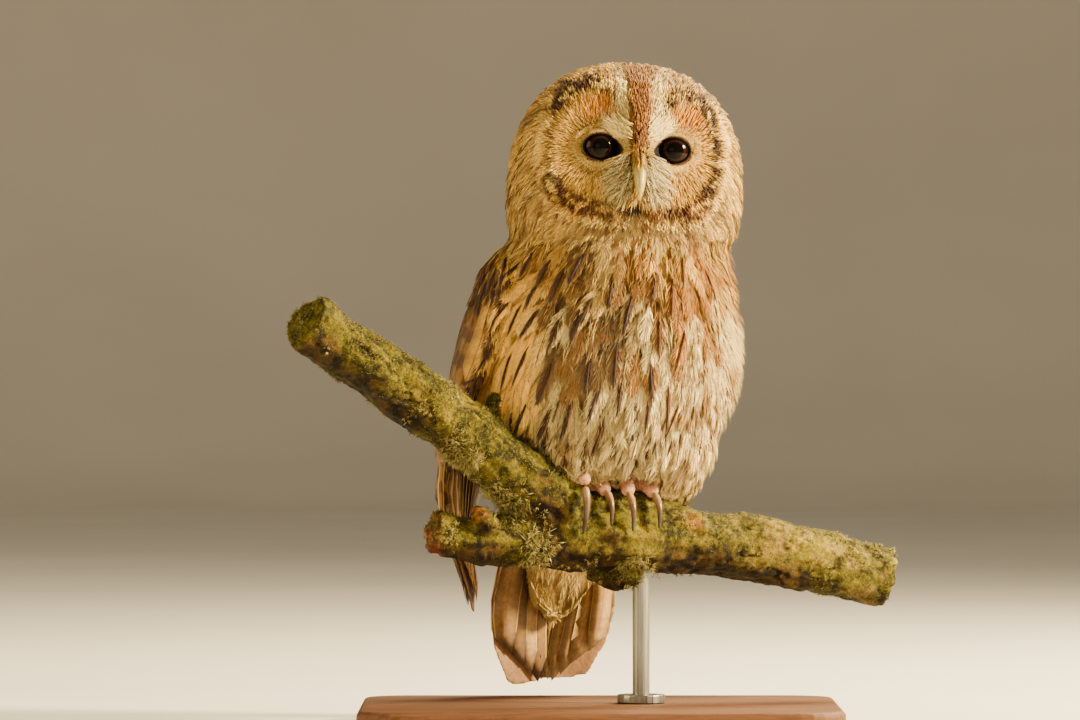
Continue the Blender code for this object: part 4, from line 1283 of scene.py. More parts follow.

# %% [markdown]
# The disc's filaments lie almost flat. Their roots are painted darker, as painted shade, and their
# tips a little paler, as a painted highlight, which draws the fine rays round the eyes. The ring's
# feathers are short, stiff and stand up, so it reads as a raised scaly rim.

# %% Facial disc
disc_roots = sow(in_disc, 0.78 * MM, 61, crowd=3.0)
left_side = local(HEAD, disc_roots[1])[:, 0] > 0
for name, mask in (("coat_disc_left", left_side), ("coat_disc_right", ~left_side)):
    roots = chosen(disc_roots, mask)
    face = local(HEAD, roots[1])
    length = (3.2 + 6.8 * rise(off_lids(face), 0, 15)) * MM
    coat_piece(name, filaments(roots, length, 0.27 * MM, 62, head_tint), fine_plumage, "head_feathers")

ring_roots = sow(ring_zone, 1.15 * MM, 63)
sets = filaments(ring_roots, 4.2 * MM, 0.42 * MM, 64, head_tint, lift=1.3 * MM, stray=0.35)
coat_piece("coat_disc_ring", sets, fine_plumage, "head_feathers")
print("disc filaments:", len(disc_roots[1]), "ring:", len(ring_roots[1]))

# %% [markdown]
# Stiff white bristles spring from the root of the bill and sweep down and out over its sides. They
# are long single hairs of feather, arched clear of the face. The brows, the parting above the bill,
# the chin and the skin over the nostrils are drawn in the same way.

# %% Bristles
bill_form = node_form("bill_upper")


def face_cast(points):
    """The foremost of face and bill in front of each place, in head millimetres, and the face's triangle."""
    start = world(HEAD, np.insert(points, 1, -90.0, axis=1))
    ahead = turned(HEAD, np.tile((0.0, 1.0, 0.0), (len(start), 1)))
    place, lean, index, met = owl_form.cast(start, ahead)
    other, _, _, struck = bill_form.cast(start, ahead)
    nearer = struck & (local(HEAD, other)[:, 1] < local(HEAD, place)[:, 1])
    return np.where(nearer[:, None], other, place), lean, index, met


def bristles(count, seed, from_x, from_z, fan, reach, rising, arch, size, dark, pale):
    """Long single locks over the face: from ranges of x and z, fanning outwards, up or down."""
    dice = np.random.default_rng(seed)
    side = np.where(dice.random(count) < 0.5, -1.0, 1.0)
    start_x = side * dice.uniform(*from_x, count)
    start_z = dice.uniform(*from_z, count)
    angle = np.radians(dice.uniform(*fan, count))
    length = dice.uniform(*reach, count)
    share = np.linspace(0, 1, 5)[None, :]
    x = start_x[:, None] + side[:, None] * np.sin(angle)[:, None] * length[:, None] * share
    z = start_z[:, None] + rising * np.cos(angle)[:, None] * length[:, None] * share**1.3
    place, lean, index, met = face_cast(np.stack((x, z), axis=2).reshape(-1, 2))
    keep = met.reshape(count, 5).all(axis=1)
    off = (0.2 + arch * np.sin(np.pi * share**0.8)) * MM * dice.uniform(0.3, 1.1, (count, 1))
    path = place.reshape(count, 5, 3) + turned(HEAD, (0, -1, 0)) * off[..., None]
    colour = mixed(dark, pale, dice.random(count) ** 1.1)[:, None]
    dark_root = np.where(dice.random(count) < 0.3, 0.45, 0.9)[:, None, None]
    colour = colour * np.where(share[..., None] < 0.3, dark_root, 1.0)
    width = size * MM * np.ones((count, 5))
    spots = middle_spot(index.reshape(count, 5)[:, 0])
    up = lean.reshape(count, 5, 3)
    return strands(path[keep], up[keep], width[keep], width[keep], ROUND, colour[keep], spots[keep])


BRISTLES = (
    # count, seed, places across and up, fan, reach, rising, arch, size, dark and pale colour
    (680, 71, (2.8, 9.5), (4, 25), (8, 74), (8, 19), -1, 2.6, 0.19, UMBER * 0.4 + ASH * 0.1, WHITE * 1.05),
    (760, 72, (3.0, 13.0), (33, 42), (36, 86), (6, 13), 1, 2.2, 0.23, CREAM * 0.9, WHITE * 1.1),
    (620, 75, (0.0, 6.0), (27, 72), (-14, 16), (3, 6), 1, 0.9, 0.3, UMBER * 0.7, RUFOUS + BUFF * 0.15),
    (160, 73, (0.5, 9.0), (-3, 4), (0, 50), (5, 9), -1, 1.2, 0.2, UMBER, CREAM),
    (260, 74, (0.2, 3.4), (21, 31), (0, 26), (3, 8), -1, 0.7, 0.2, UMBER, BUFF),
)
coat_piece("coat_bristles", [bristles(*row) for row in BRISTLES], fine_plumage, "head_feathers")

# %% [markdown]
# Flight feathers and wing coverts are firm vanes that overlap like tiles, in rows. Each row is a
# few numbers: how many, where across the wing, where each starts and ends, and how wide it is.
# The covert rows lie on top of the quills' bases, and softer feathers cover the wing's shoulder.
# Two more rows of narrow quills follow the wing's outer edge and its inner face.

# %% Vanes
VANE_STATIONS = 9


def vanes(path, up, spots, half, thick, tint, mark, barred, streak, tilt, seed, blunt=0.55):
    """Closed vanes along paths (L, S, 3), tilted about their shafts so that each laps the next."""
    dice = np.random.default_rng(seed)
    count, stations = path.shape[:2]
    share = np.linspace(0, 1, stations)
    shape = np.clip(np.sin(np.pi * np.clip(share * 0.5 + 0.12, 0, 1)), 0, 1) ** 0.5
    tip = np.clip((1 - share) / 0.16, 0, 1) ** blunt
    width = np.tile(half * shape * tip, (count, 1))
    along = unit(np.gradient(path, axis=1))
    side = unit(np.cross(up, along))
    lean = tilt + dice.normal(0, 0.03, count) * (tilt != 0)
    up = unit(up + side * np.tan(lean)[:, None, None])
    tone = dice.uniform(0.88, 1.12, (count, 1, 1))
    shares = np.tile((barred, streak), (count, 1, 1))
    colours = np.concatenate((tint[:, None] * tone, mark[:, None] * tone, shares), axis=2)
    colours = np.repeat(colours, stations, axis=1)
    made = list(strands(path, up, width, np.full_like(width, thick), FLAT, colours, spots))
    flow = made[4].reshape(count, -1, 2)
    reach = np.linalg.norm(np.diff(path, axis=1), axis=2).sum(axis=1)
    flow[:, :, 1] = flow[:, :, 1] * reach[:, None] * 10 + dice.uniform(0, 0.1, (count, 1))
    made[4] = flow.reshape(-1, 2)
    return made


def wing_row(side, count, across, top, ends, half, lift, seed, inner=None):
    """One row of a wing's feathers, from front (0) to back (1)."""
    dice = np.random.default_rng(seed)
    end = np.interp(np.linspace(0, 1, count), np.linspace(0, 1, len(ends)), ends) + dice.normal(0, 1.0, count)
    start = top + dice.normal(0, 1.0, count)
    share = np.linspace(0, 1, VANE_STATIONS)
    height = start[:, None] + (end - start)[:, None] * share
    out = np.repeat(np.linspace(*across, count)[:, None], VANE_STATIONS, 1)
    place, lean, _, met = wing_place(side, height.ravel(), out.ravel(), inner)
    met = met.reshape(count, -1).all(axis=1)
    place, lean = place.reshape(count, -1, 3), lean.reshape(count, -1, 3)
    path = place + lean * (lift * share[None, :, None] - 0.9) * MM
    spots = middle_spot(owl_form.nearest(place[:, 0])[2])
    tint = wing_tint(place[:, 4])[met]
    mark = np.broadcast_to(BUFF * 0.3 + RUFOUS * 0.3, tint.shape)
    return vanes(path[met], lean[met], spots[met], half * MM, 0.35 * MM, tint, mark, 0.6, 0.75, 0.2, seed)


WING_ROWS = (
    # count, across, top, tips from front to back, half width, lift
    (10, (0.04, 0.62), 22, (-34, -54, -70, -68), 6.5, 0.9),
    (11, (0.30, 0.95), 52, (-34, -20, -6, 6), 9.5, 1.5),
    (7, (0.62, 0.97), 84, (6, 22, 34), 10.5, 2.0),
    (9, (0.03, 0.50), 70, (16, 4, 0), 7.5, 1.8),
    (13, (0.08, 0.96), 92, (34, 28, 36, 48), 8.5, 2.3),
    (14, (0.05, 0.96), 112, (62, 58, 62, 72), 7.5, 2.7),
)

quills = []
for side, name in ((-1, "coat_wing_right"), (1, "coat_wing_left")):
    quills.append(wing_row(side, 12, (0.02, 0.60), 44, (-28, -50, -68, -70), 2.5, 2.2, 87))
    wing = node_form(name[5:])
    quills.append(wing_row(side, 9, (0.03, 0.70), 16, (-30, -50, -66, -68), 3.0, 1.6, 88, inner=wing))
    sets = [
        wing_row(side, count, across, top, ends, half, lift, 80 + number)
        for number, (count, across, top, ends, half, lift) in enumerate(WING_ROWS)
    ]
    coat_piece(name, sets, wing_vanes, "wing_feathers", marks=True)
coat_piece("coat_quills", quills, quill_vanes, "wing_feathers", marks=True)

# %% [markdown]
# The wing's shoulder and the mantle are covered with soft, scale-like feathers: rufous brown with a
# dark shaft and buff or white spots on their outer webs. The line of big white spots down each
# shoulder is the tawny owl's mark.

# %% Shoulder feathers
def shoulder_painter(root, seed):
    dice = np.random.default_rng(seed)
    ground = wing_tint(root) * dice.uniform(0.85, 1.2, (len(root), 1))
    spotted = dice.random(len(root)) < 0.35

    def colours(row, s, x):
        spot = rise(x, 0.25, 0.55) * rise(s, 0.45, 0.6) * rise(s, 0.95, 0.82) * spotted[row][:, None]
        base = mixed(ground[row][:, None], CREAM, spot * 0.9)
        base = mixed(base, BUFF * 0.8, rise(np.abs(x), 0.6, 1.0) * 0.5)
        return mixed(base, DARK, bell(x, 0.2) * 0.8)

    return colours


SHOULDER_HIGH = rise(local(OWL, owl_form.at)[:, 2], 50, 84)
for side, name in ((-1, "wing_right"), (1, "wing_left")):
    roots = sow(in_part[name] * SHOULDER_HIGH, 5.6 * MM, 91)
    count = len(roots[1])
    sets = contour(roots, np.full(count, 19.0 * MM), np.full(count, 5.2 * MM), shoulder_painter(roots[1], 92),
                   barbs=20, rings=1, shaft=0.5, seed=93, steps=4, stray=0.08, lift=0.9 * MM,
                   fat=0.5, cup=0.4)
    coat_piece("coat_shoulder" + name[4:], sets, soft_plumage, "wing_feathers")

# %% [markdown]
# A live owl's tail has twelve feathers. Here ten vanes are drawn on each of its faces: rufous brown
# and faintly barred behind, and greyish with pale rims below.

# %% Tail
TAIL_WIDTH = ((34, 22), (0, 30), (-40, 36), (-70, 39), (-88, 37), (-98, 33), (-109, 24))
tail_form = node_form("tail")


def tail_paths(behind, count, top):
    """Paths down one face of the tail: behind is 1 for its back, -1 for its underside."""
    across = np.linspace(-1, 1, count)
    tips = np.interp(np.abs(across), (0, 0.3, 0.65, 1), (-114, -117, -111, -99))
    steps = np.linspace(0, 1, VANE_STATIONS)
    heights = top + (tips[:, None] - top) * steps
    half = np.interp(-heights, [-h for h, _ in TAIL_WIDTH], [w for _, w in TAIL_WIDTH]) - 7.5
    start = (across[:, None] * half, np.full_like(heights, 200.0 * behind), heights)
    start = np.stack(start, axis=2).reshape(-1, 3)
    ahead = np.tile((0.0, -float(behind), 0.0), (len(start), 1))
    place, lean, _, met = tail_form.cast(world(OWL, start), turned(OWL, ahead))
    place, met = place.reshape(count, -1, 3), met.reshape(count, -1)
    for k in range(1, VANE_STATIONS):
        lost = ~met[:, k]
        place[lost, k] = 2 * place[lost, k - 1] - place[lost, k - 2]
    lean = lean.reshape(count, VANE_STATIONS, 3)
    lean[~met] = 0
    leans = lean * 0.8 + turned(OWL, (0.0, float(behind), 0.3))
    return place, unit(leans), owl_form.nearest(place[:, 5])[2]


sets = []
for behind, top, seed in ((1, 30, 101), (-1, -6, 102)):
    path, lean, index = tail_paths(behind, 10, top)
    across = np.linspace(-1, 1, len(path))
    rank = np.abs(across) if behind < 0 else 1 - np.abs(across)
    path = path + lean * (rank[:, None, None] * 2.0 + 0.5) * MM
    under = tail_tint(path[:, 5])
    tint = under if behind < 0 else under * 0.08 + RUFOUS * 0.45
    mark = np.broadcast_to(UMBER * 0.8 + (BUFF * 0.2 if behind < 0 else 0), tint.shape)
    barred = 0.35 if behind < 0 else 0.6
    sets.append(vanes(path, lean, middle_spot(index), 8.0 * MM, 0.2 * MM, tint, mark, barred, 0.4,
                      0.13 * np.sign(across), seed, blunt=0.5))
coat_piece("coat_tail", sets, tail_vanes, "wing_feathers", marks=True)

# %% [markdown]
# A tawny owl's eyes are nearly black, wet and domed. Each is one smooth ball with a clear coat and a
# dark brown iris round a wide pupil. The lids are thin bare rims, drawn to a corner by the bill.

# %% Eyes
def eye_ball(side):
    sides, rings = 48, 40
    points, ring_value = [], []
    for ring in range(rings + 1):
        slant = math.pi * ring / rings
        bulge = 0.35 * math.exp(-((slant / 0.5) ** 2))
        radius = EYE_RADIUS + bulge
        count = 1 if ring in (0, rings) else sides
        for step in range(count):
            turn = math.tau * step / sides
            points.append((
                side * EYE[0] + radius * math.sin(slant) * math.cos(turn),
                EYE[1] - radius * math.cos(slant),
                EYE[2] + radius * math.sin(slant) * math.sin(turn),
            ))
            ring_value.append(slant)
    faces = []
    row = lambda ring, step: 0 if ring == 0 else 1 + (ring - 1) * sides + step % sides
    last = len(points) - 1
    for step in range(sides):
        faces.append((0, row(1, step), row(1, step + 1)))
        for ring in range(1, rings - 1):
            faces.append((row(ring, step), row(ring + 1, step), row(ring + 1, step + 1)))
            faces.append((row(ring, step), row(ring + 1, step + 1), row(ring, step + 1)))
        faces.append((row(rings - 1, step), last, row(rings - 1, step + 1)))
    return world(HEAD, points), np.array(faces), np.array(ring_value)


def eye_finish():
    tree, where = new_material("wet_eye")
    rays = sums(tree, "MULTIPLY_ADD", noise(tree, where, 900.0), 0.05, attribute(tree, "slant", "Fac"))
    pupil, beyond = (0.002, 0.0015, 0.001), (0.003, 0.002, 0.002)
    stops = ((0.44, pupil), (0.5, paint(38, 20, 12)), (0.66, paint(24, 12, 8)), (0.78, beyond))
    colour = ramp(tree, rays, stops)
    rough = ramp(tree, noise(tree, where, 1500.0), ((0.4, 0.05), (0.6, 0.09)))
    others = {"Coat Weight": 0.12, "Coat Roughness": 0.02, "Coat IOR": 1.36, "Specular IOR Level": 0.06}
    return surfaced("wet_eye", colour, rough, None, others)


def outward(points, faces):
    """The faces turned so that the closed shell's volume is positive."""
    a, b, c = (points[faces[:, k]] for k in range(3))
    volume = (np.cross(a - points[0], b - points[0]) * (c - points[0])).sum()
    return faces if volume > 0 else faces[:, ::-1]


wet_eye = eye_finish()
for side, name in ((-1, "eye_right"), (1, "eye_left")):
    points, faces, slant = eye_ball(side)
    mesh = mesh_from("ball", points, outward(points, faces))
    set_value(mesh, "slant", slant)
    finished(name + "_ball", mesh, wet_eye, "eye", name)


# %% Eyelids
def lid(side):
    """A thin almond rim with a dark wet slope down to the ball and an apron under the feathers. The
    last two arrays are 1 on the slope, and 1 where the skin is bare."""
    around = 64
    turn = np.arange(around) / around * math.tau
    edge = lid_edge(turn)
    inner = np.minimum(edge - 1.2, 9.0)
    flat = lambda r: np.stack((side * (EYE[0] + r * np.cos(turn)), EYE[2] + r * np.sin(turn)), axis=1)
    ball = lambda r: EYE[1] - np.sqrt(np.maximum((EYE_RADIUS + 0.35) ** 2 - r**2, 0.5))

    def face_at(r):
        start = world(HEAD, np.insert(flat(r), 1, -90.0, axis=1))
        place = owl_form.cast(start, turned(HEAD, np.tile((0.0, 1.0, 0.0), (around, 1))))[0]
        front = local(HEAD, place)[:, 1]
        return np.convolve(np.concatenate((front[-3:], front, front[:3])), np.ones(7) / 7, "valid")

    over = lambda r: np.minimum(face_at(r), ball(np.minimum(r, EYE_RADIUS)))
    front = over(edge + 0.5)
    rows = [(inner, ball(inner) + 0.5), (inner, ball(inner) - 0.2)]
    for share in (0.25, 0.5, 0.75):
        r = inner + (edge - 0.4 - inner) * share
        rows.append((r, np.minimum(ball(inner) + (front - 0.5 - ball(inner)) * share, over(r) - 0.5)))
    rows += [
        (edge - 0.4, front - 0.6),
        (edge - 0.1, front - 0.85),
        (edge + 0.3, front - 0.75),
        (edge + 0.7, over(edge + 0.7) - 0.15),
        (edge + 2.2, over(edge + 2.2) - 0.1),
        (edge + 4.0, over(edge + 4.0) + 0.6),
        (inner + 0.2, ball(inner) + 1.6),
    ]
    section = len(rows)
    points = np.stack([np.insert(flat(r), 1, y, axis=1) for r, y in rows], axis=1).reshape(-1, 3)
    a = (np.arange(around)[:, None] * section + np.arange(section)).ravel()
    b = (np.arange(around)[:, None] * section + (np.arange(section) + 1) % section).ravel()
    c, d = (b + section) % len(points), (a + section) % len(points)
    faces = np.concatenate((np.stack((a, b, c), axis=1), np.stack((a, c, d), axis=1)))
    points = world(HEAD, points)
    wet = np.tile((1, 1, 1, 1, 1, 1, 0.4, 0, 0, 0, 0, 0), around)
    bare = np.tile((1, 1, 1, 1, 1, 1, 1, 1, 0.3, 0, 0, 0), around)
    return points, outward(points, faces), wet, bare


def lid_finish():
    tree, where = new_material("eyelid_skin")
    tone = noise(tree, where, 1400.0)
    colour = ramp(tree, tone, ((0.3, paint(52, 32, 28)), (0.7, paint(112, 78, 68))))
    wet = attribute(tree, "wet", "Fac")
    colour = blend(tree, wet, colour, paint(9, 6, 5))
    colour = blend(tree, attribute(tree, "bare", "Fac"), attribute(tree, "tint"), colour)
    rough = sums(tree, "MULTIPLY_ADD", wet, -0.1, ramp(tree, tone, ((0.2, 0.42), (0.8, 0.6))))
    normal = bump(tree, tone, 0.5, 0.0003)
    return surfaced("eyelid_skin", colour, rough, normal, {"Specular IOR Level": 0.03})


eyelid_skin = lid_finish()
for side, name in ((-1, "lids_right"), (1, "lids_left")):
    points, faces, wet, bare = lid(side)
    mesh = mesh_from(name, points, faces)
    set_value(mesh, "wet", wet)
    set_value(mesh, "bare", bare)
    # The lids' tint is the face's colour darkened to 0.45: painted shade where the bare apron shows between
    # the lashes.
    set_colour(mesh, "tint", head_tint(points) * 0.45)
    finished(name, mesh, eyelid_skin, "toe_skin")


def lashes(side, count, seed):
    """Short filaments that fan out from the lids' rim, over the apron and the ball's edge."""
    dice = np.random.default_rng(seed)
    turn = dice.uniform(0, math.tau, count)
    start = lid_edge(turn) + 3.4 * dice.random(count) ** 1.7
    reach = start[:, None] + dice.uniform(2.2, 4.2, count)[:, None] * np.linspace(0, 1, 4)
    bent = turn[:, None] + dice.normal(0, 0.06, count)[:, None] * np.linspace(0, 1, 4)
    flat = np.stack((side * (EYE[0] + reach * np.cos(bent)), EYE[2] + reach * np.sin(bent)), axis=2)
    place, _, index, _ = face_cast(flat.reshape(-1, 2))
    ball = EYE[1] - np.sqrt(np.maximum((EYE_RADIUS + 0.35) ** 2 - reach**2, 0.5)).ravel()
    deep = np.minimum(local(HEAD, place)[:, 1], np.where(reach.ravel() < EYE_RADIUS, ball, 0.0))
    deep = deep - 0.45 - 0.5 * np.tile(np.sin(np.pi * np.linspace(0, 1, 4)), count)
    path = world(HEAD, np.insert(flat.reshape(-1, 2), 1, deep, axis=1)).reshape(count, 4, 3)
    # Each lash is painted darker towards its root at the lids, as painted shade.
    tone = dice.uniform(0.6, 1.05, (count, 1, 1)) * np.linspace(0.4, 1.0, 4)[None, :, None]
    up = np.tile(turned(HEAD, (0.0, -1.0, 0.0)), (count, 4, 1))
    width = 0.22 * MM * np.ones((count, 4))
    spots = middle_spot(index.reshape(count, 4)[:, 0])
    return strands(path, up, width, width, ROUND, head_tint(path[:, 2])[:, None] * tone, spots)


coat_piece("coat_lashes", [lashes(side, 1500, 76) for side in (-1, 1)], fine_plumage, "head_feathers")

# %% [markdown]
# The bill, the claws and the toes keep the solids' shapes. A copy of each is merged, subdivided and
# smoothed, and the copies of the bill and claws carry how far each corner is from the root to the
# tip, so that the horn can darken or pale along its length.

# %% Horn and toes
def smoothed(solid, levels):
    """A solid's mesh, subdivided."""
    part = merged(solid)
    bmesh.ops.join_triangles(part, faces=part.faces, angle_face_threshold=0.7, angle_shape_threshold=0.9)
    thing = add("copy", mesh_of(part, solid))
    soft = thing.modifiers.new("soft", "SUBSURF")
    soft.levels = soft.render_levels = levels
    mesh = evaluated(thing)
    mesh.shade_smooth()
    return mesh


def dressed(solid, name, levels, material, slot, root=None, swell=0.0):
    """A piece in place of a solid. Its corners say how far they are from a root, where one is given."""
    mesh = smoothed(solid, levels)
    points = read(mesh.vertices, "co", 3) + swell * MM * read(mesh.vertices, "normal", 3)
    mesh.vertices.foreach_set("co", points.astype(np.float32).ravel())
    mesh.update()
    if root is not None:
        far = np.linalg.norm(points - root, axis=1)
        set_value(mesh, "tipward", (far - far.min()) / (far.max() - far.min()))
    finished(name, mesh, material, slot, solid)


def horn(name, stops, streaks, rough):
    tree, where = new_material(name)
    wander = sums(tree, "SUBTRACT", noise(tree, where, 400.0), 0.5)
    wander = sums(tree, "MULTIPLY_ADD", wander, 0.25, attribute(tree, "tipward", "Fac"))
    colour = ramp(tree, wander, stops)
    lines = noise(tree, stretched(tree, where, (900.0, 900.0, 120.0)), 1.0, 2.0)
    colour = toned(tree, colour, lines, ((0.3, 1 - streaks), (0.7, 1 + streaks)))
    normal = bump(tree, lines, 0.25, 0.0002)
    rough = ramp(tree, lines, ((0.2, rough), (0.8, rough + 0.15)))
    return surfaced(name, colour, rough, normal, {"Coat Weight": 0.2})


BILL_COLOURS = ((0.0, paint(70, 58, 22)), (0.4, paint(128, 110, 42)), (1.0, paint(188, 168, 84)))
CLAW_COLOURS = (
    (0.0, paint(176, 140, 104)),
    (0.35, paint(106, 76, 54)),
    (0.7, paint(52, 36, 26)),
    (1.0, paint(26, 18, 14)),
)
bill_horn = horn("bill_horn", BILL_COLOURS, 0.14, 0.32)
claw_horn = horn("claw_horn", CLAW_COLOURS, 0.15, 0.28)
bill_root = world(HEAD, [(0.0, -40.0, 24.0)])[0]
for solid in ("bill_upper", "bill_lower"):
    dressed(solid, solid + "_horn", 2, bill_horn, "bill", bill_root)


def toe_finish():
    tree, where = new_material("toe_scales")
    cells = node(tree, "TexVoronoi", {"Vector": where, "Scale": 620.0}, feature="DISTANCE_TO_EDGE").outputs[0]
    tone = noise(tree, where, 260.0)
    stops = ((0.3, paint(178, 120, 92)), (0.55, paint(222, 164, 128)), (0.75, paint(240, 196, 156)))
    colour = ramp(tree, tone, stops)
    seams = ramp(tree, cells, ((0.0, 0.55), (0.12, 1.0)))
    colour = blend(tree, 1.0, colour, seams, "MULTIPLY")
    normal = bump(tree, seams, 0.7, 0.0005)
    rough = ramp(tree, tone, ((0.3, 0.45), (0.7, 0.65)))
    others = {"Subsurface Weight": 0.15, "Subsurface Scale": 0.002}
    return surfaced("toe_scales", colour, rough, normal, others)


toe_scales = toe_finish()
for side in ("left", "right"):
    dressed("foot_" + side, "toes_" + side, 1, toe_scales, "toe_skin", swell=0.7)
    for number in range(1, 5):
        claw = f"claw_{side}_{number}"
        low, high = (np.array(corner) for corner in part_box(claw))
        top = np.array(((low[0] + high[0]) / 2, (low[1] + high[1]) / 2, high[2]))
        dressed(claw, claw + "_horn", 1, claw_horn, "claw", top, 0.3)
print("bill, toes and claws dressed")

# %% [markdown]
# The perch is a living branch with old bark. The two solids are joined into one form, remeshed, and
# roughened by noise stretched along the wood: long shallow furrows, lumps and a few deep cracks.

# %% Bark
perch = Form(one_form(("perch_limb", "perch_arm"), 0.0002, 0.0014))
is_arm = nearest_node(perch.at, ("perch_limb", "perch_arm")) == 1
ALONG_LIMB = unit(np.array((0.96, 0.26, -0.1)))
ALONG_ARM = unit(np.array((-0.72, -0.48, 0.5)))


def on_wood(points, arm):
    """Places in millimetres, shortened along the wood's run, for noise that follows the grain."""
    run = np.where(arm[:, None], ALONG_ARM, ALONG_LIMB)
    far = (points * run).sum(axis=1)[:, None]
    return (points - run * far * 0.75) / MM


def roughened():
    drawn = on_wood(perch.at, is_arm)
    spot = perch.at / MM
    lumps = grain(spot, 16, 1) * 0.7 + grain(spot, 7, 2) * 0.5 + grain(spot, 3.4, 3) * 0.5
    furrow = 1 - np.abs(grain(drawn, 6, 4))
    crack = rise(furrow, 0.86, 1.0) * rise(grain(spot, 20, 5), -0.2, 0.5)
    return lumps + 0.5 * grain(drawn, 2.6, 6) - 1.6 * crack, crack


relief, crack = roughened()
bark_at = perch.at + perch.normal * relief[:, None] * MM
mossy = rise(perch.normal[:, 2] + 0.6 * grain(perch.at / MM, 18, 8), -1.0, -0.1)


def bark_tint():
    spot = perch.at / MM
    coarse, fine, tiny = grain(spot, 14, 12), grain(spot, 5, 13), grain(spot, 2.4, 14)
    colour = mixed(paint(88, 66, 22), paint(28, 19, 6), rise(fine + 0.5 * tiny, -0.3, 0.4))
    green = mixed(paint(100, 92, 16), paint(48, 46, 8), rise(tiny + fine, -0.35, 0.45))
    colour = mixed(colour, green, mossy * 0.95)
    colour = mixed(colour, paint(152, 134, 32), mossy * rise(coarse + 0.7 * tiny, 0.3, 1.1) * 0.6)
    right = rise(spot[:, 0], 60, 130)
    colour = mixed(colour, paint(158, 128, 62), right * rise(grain(spot, 9, 15) + 0.5 * tiny, 0.0, 0.8) * 0.6)
    # The cracks are painted nearly black: partly the darker bark inside them, partly painted shade in the
    # recess.
    colour = mixed(colour, paint(30, 20, 10), np.clip(crack * 1.3, 0, 1))
    # Painted shade: the underside, where the bark faces down, is darkened.
    under = rise(-perch.normal[:, 2], 0.3, 0.9)
    colour = mixed(colour, paint(26, 20, 6), under * 0.6)
    peeled = np.exp(-(((spot - (58, -6, 124)) / 6) ** 2).sum(axis=1))
    colour = mixed(colour, paint(186, 104, 24), np.clip(1.5 * peeled, 0, 1) * 0.85)
    broken = rise(spot[:, 0], -89, -95) * rise(spot[:, 2], 140, 130)
    colour = mixed(colour, mixed(paint(92, 34, 20), paint(170, 110, 70), rise(tiny, 0, 1)), broken * 0.85)
    stub = rise(((spot - (-71, -48, 127)) ** 2).sum(axis=1) ** 0.5, 8, 5)
    return mixed(colour, mixed(paint(158, 92, 42), paint(70, 44, 20), rise(tiny, -0.3, 0.5)), stub * 0.85)


perch.mesh.vertices.foreach_set("co", bark_at.astype(np.float32).ravel())
perch.mesh.update()
perch.mesh.shade_smooth()
set_colour(perch.mesh, "tint", bark_tint())
set_value(perch.mesh, "mossy", mossy)


def bark_finish():
    tree, where = new_material("mossy_bark")
    crust = noise(tree, where, 330.0, 8.0, 0.8)
    grit = noise(tree, where, 1500.0, 3.0, 0.7)
    flecks = node(tree, "TexVoronoi", {"Vector": where, "Scale": 620.0}).outputs["Distance"]
    colour = toned(tree, attribute(tree, "tint"), crust, ((0.34, 0.14), (0.66, 1.45)))
    colour = toned(tree, colour, grit, ((0.35, 0.55), (0.65, 1.5)))
    bright = ramp(tree, noise(tree, where, 520.0, 5.0, 0.7), ((0.52, 0.0), (0.64, 0.6)))
    green = sums(tree, "MULTIPLY", bright, attribute(tree, "mossy", "Fac"))
    colour = blend(tree, green, colour, blend(tree, flecks, paint(160, 140, 30), paint(78, 74, 12)))
    normal = bump(tree, flecks, 0.5, 0.0005, bump(tree, crust, 1.0, 0.0018))
    rough = ramp(tree, crust, ((0.2, 0.7), (0.8, 0.95)))
    return surfaced("mossy_bark", colour, rough, normal, {"Specular IOR Level": 0.2})


finished("perch_bark", perch.mesh, bark_finish(), "bark", "perch_limb", "perch_arm")
print("bark:", len(perch.triangle), "triangles")

# %% [markdown]
# Moss and lichen grow over the bark in hundreds of like tufts, so Geometry Nodes scatter them: points
# are spread on the bark where it is mossy, a small closed tuft is set on each with its own turn and
# size, and the copies are made real.

# %% Moss and lichen tree
def scatter_tree(name, tuft, material):
    """Points on a surface, by a named attribute, each with a turned and scaled tuft."""
    group = bpy.data.node_groups.new(name, "GeometryNodeTree")
    face = group.interface
    face.new_socket("Bark", in_out="INPUT", socket_type="NodeSocketGeometry")
    for label, value in (("Tufts per square metre", 90000.0), ("Smallest", 0.6), ("Largest", 1.3)):
        face.new_socket(label, in_out="INPUT", socket_type="NodeSocketFloat").default_value = value
    face.new_socket("Seed", in_out="INPUT", socket_type="NodeSocketInt").default_value = 5
    face.new_socket("Tufts", in_out="OUTPUT", socket_type="NodeSocketGeometry")
    given = node(group, "NodeGroupInput").outputs
    where = node(group, "GeometryNodeInputNamedAttribute", {"Name": "grows"}, data_type="FLOAT")
    dense = sums(group, "MULTIPLY", where.outputs[0], given["Tufts per square metre"])
    spread = {"Mesh": given["Bark"], "Density": dense, "Seed": given["Seed"]}
    points = node(group, "GeometryNodeDistributePointsOnFaces", spread)
    shape = node(group, "GeometryNodeObjectInfo", {"Object": tuft})
    limits = {0: (-0.35, -0.35, 0.0), 1: (0.35, 0.35, math.tau)}
    spin = node(group, "FunctionNodeRandomValue", limits, data_type="FLOAT_VECTOR")
    turns = {0: points.outputs["Rotation"], 1: spin.outputs[0]}
    turn = node(group, "FunctionNodeRotateRotation", turns, rotation_space="LOCAL")
    size = node(group, "FunctionNodeRandomValue", {2: given["Smallest"], 3: given["Largest"]})
    copies = node(group, "GeometryNodeInstanceOnPoints", {
        "Points": points.outputs["Points"],
        "Instance": shape.outputs["Geometry"],
        "Rotation": turn.outputs[0],
        "Scale": size.outputs[1],
    })
    real = node(group, "GeometryNodeRealizeInstances", {0: copies.outputs[0]})
    coated = node(group, "GeometryNodeSetMaterial", {0: real.outputs[0], "Material": material})
    node(group, "NodeGroupOutput", {0: coated.outputs[0]})
    return group


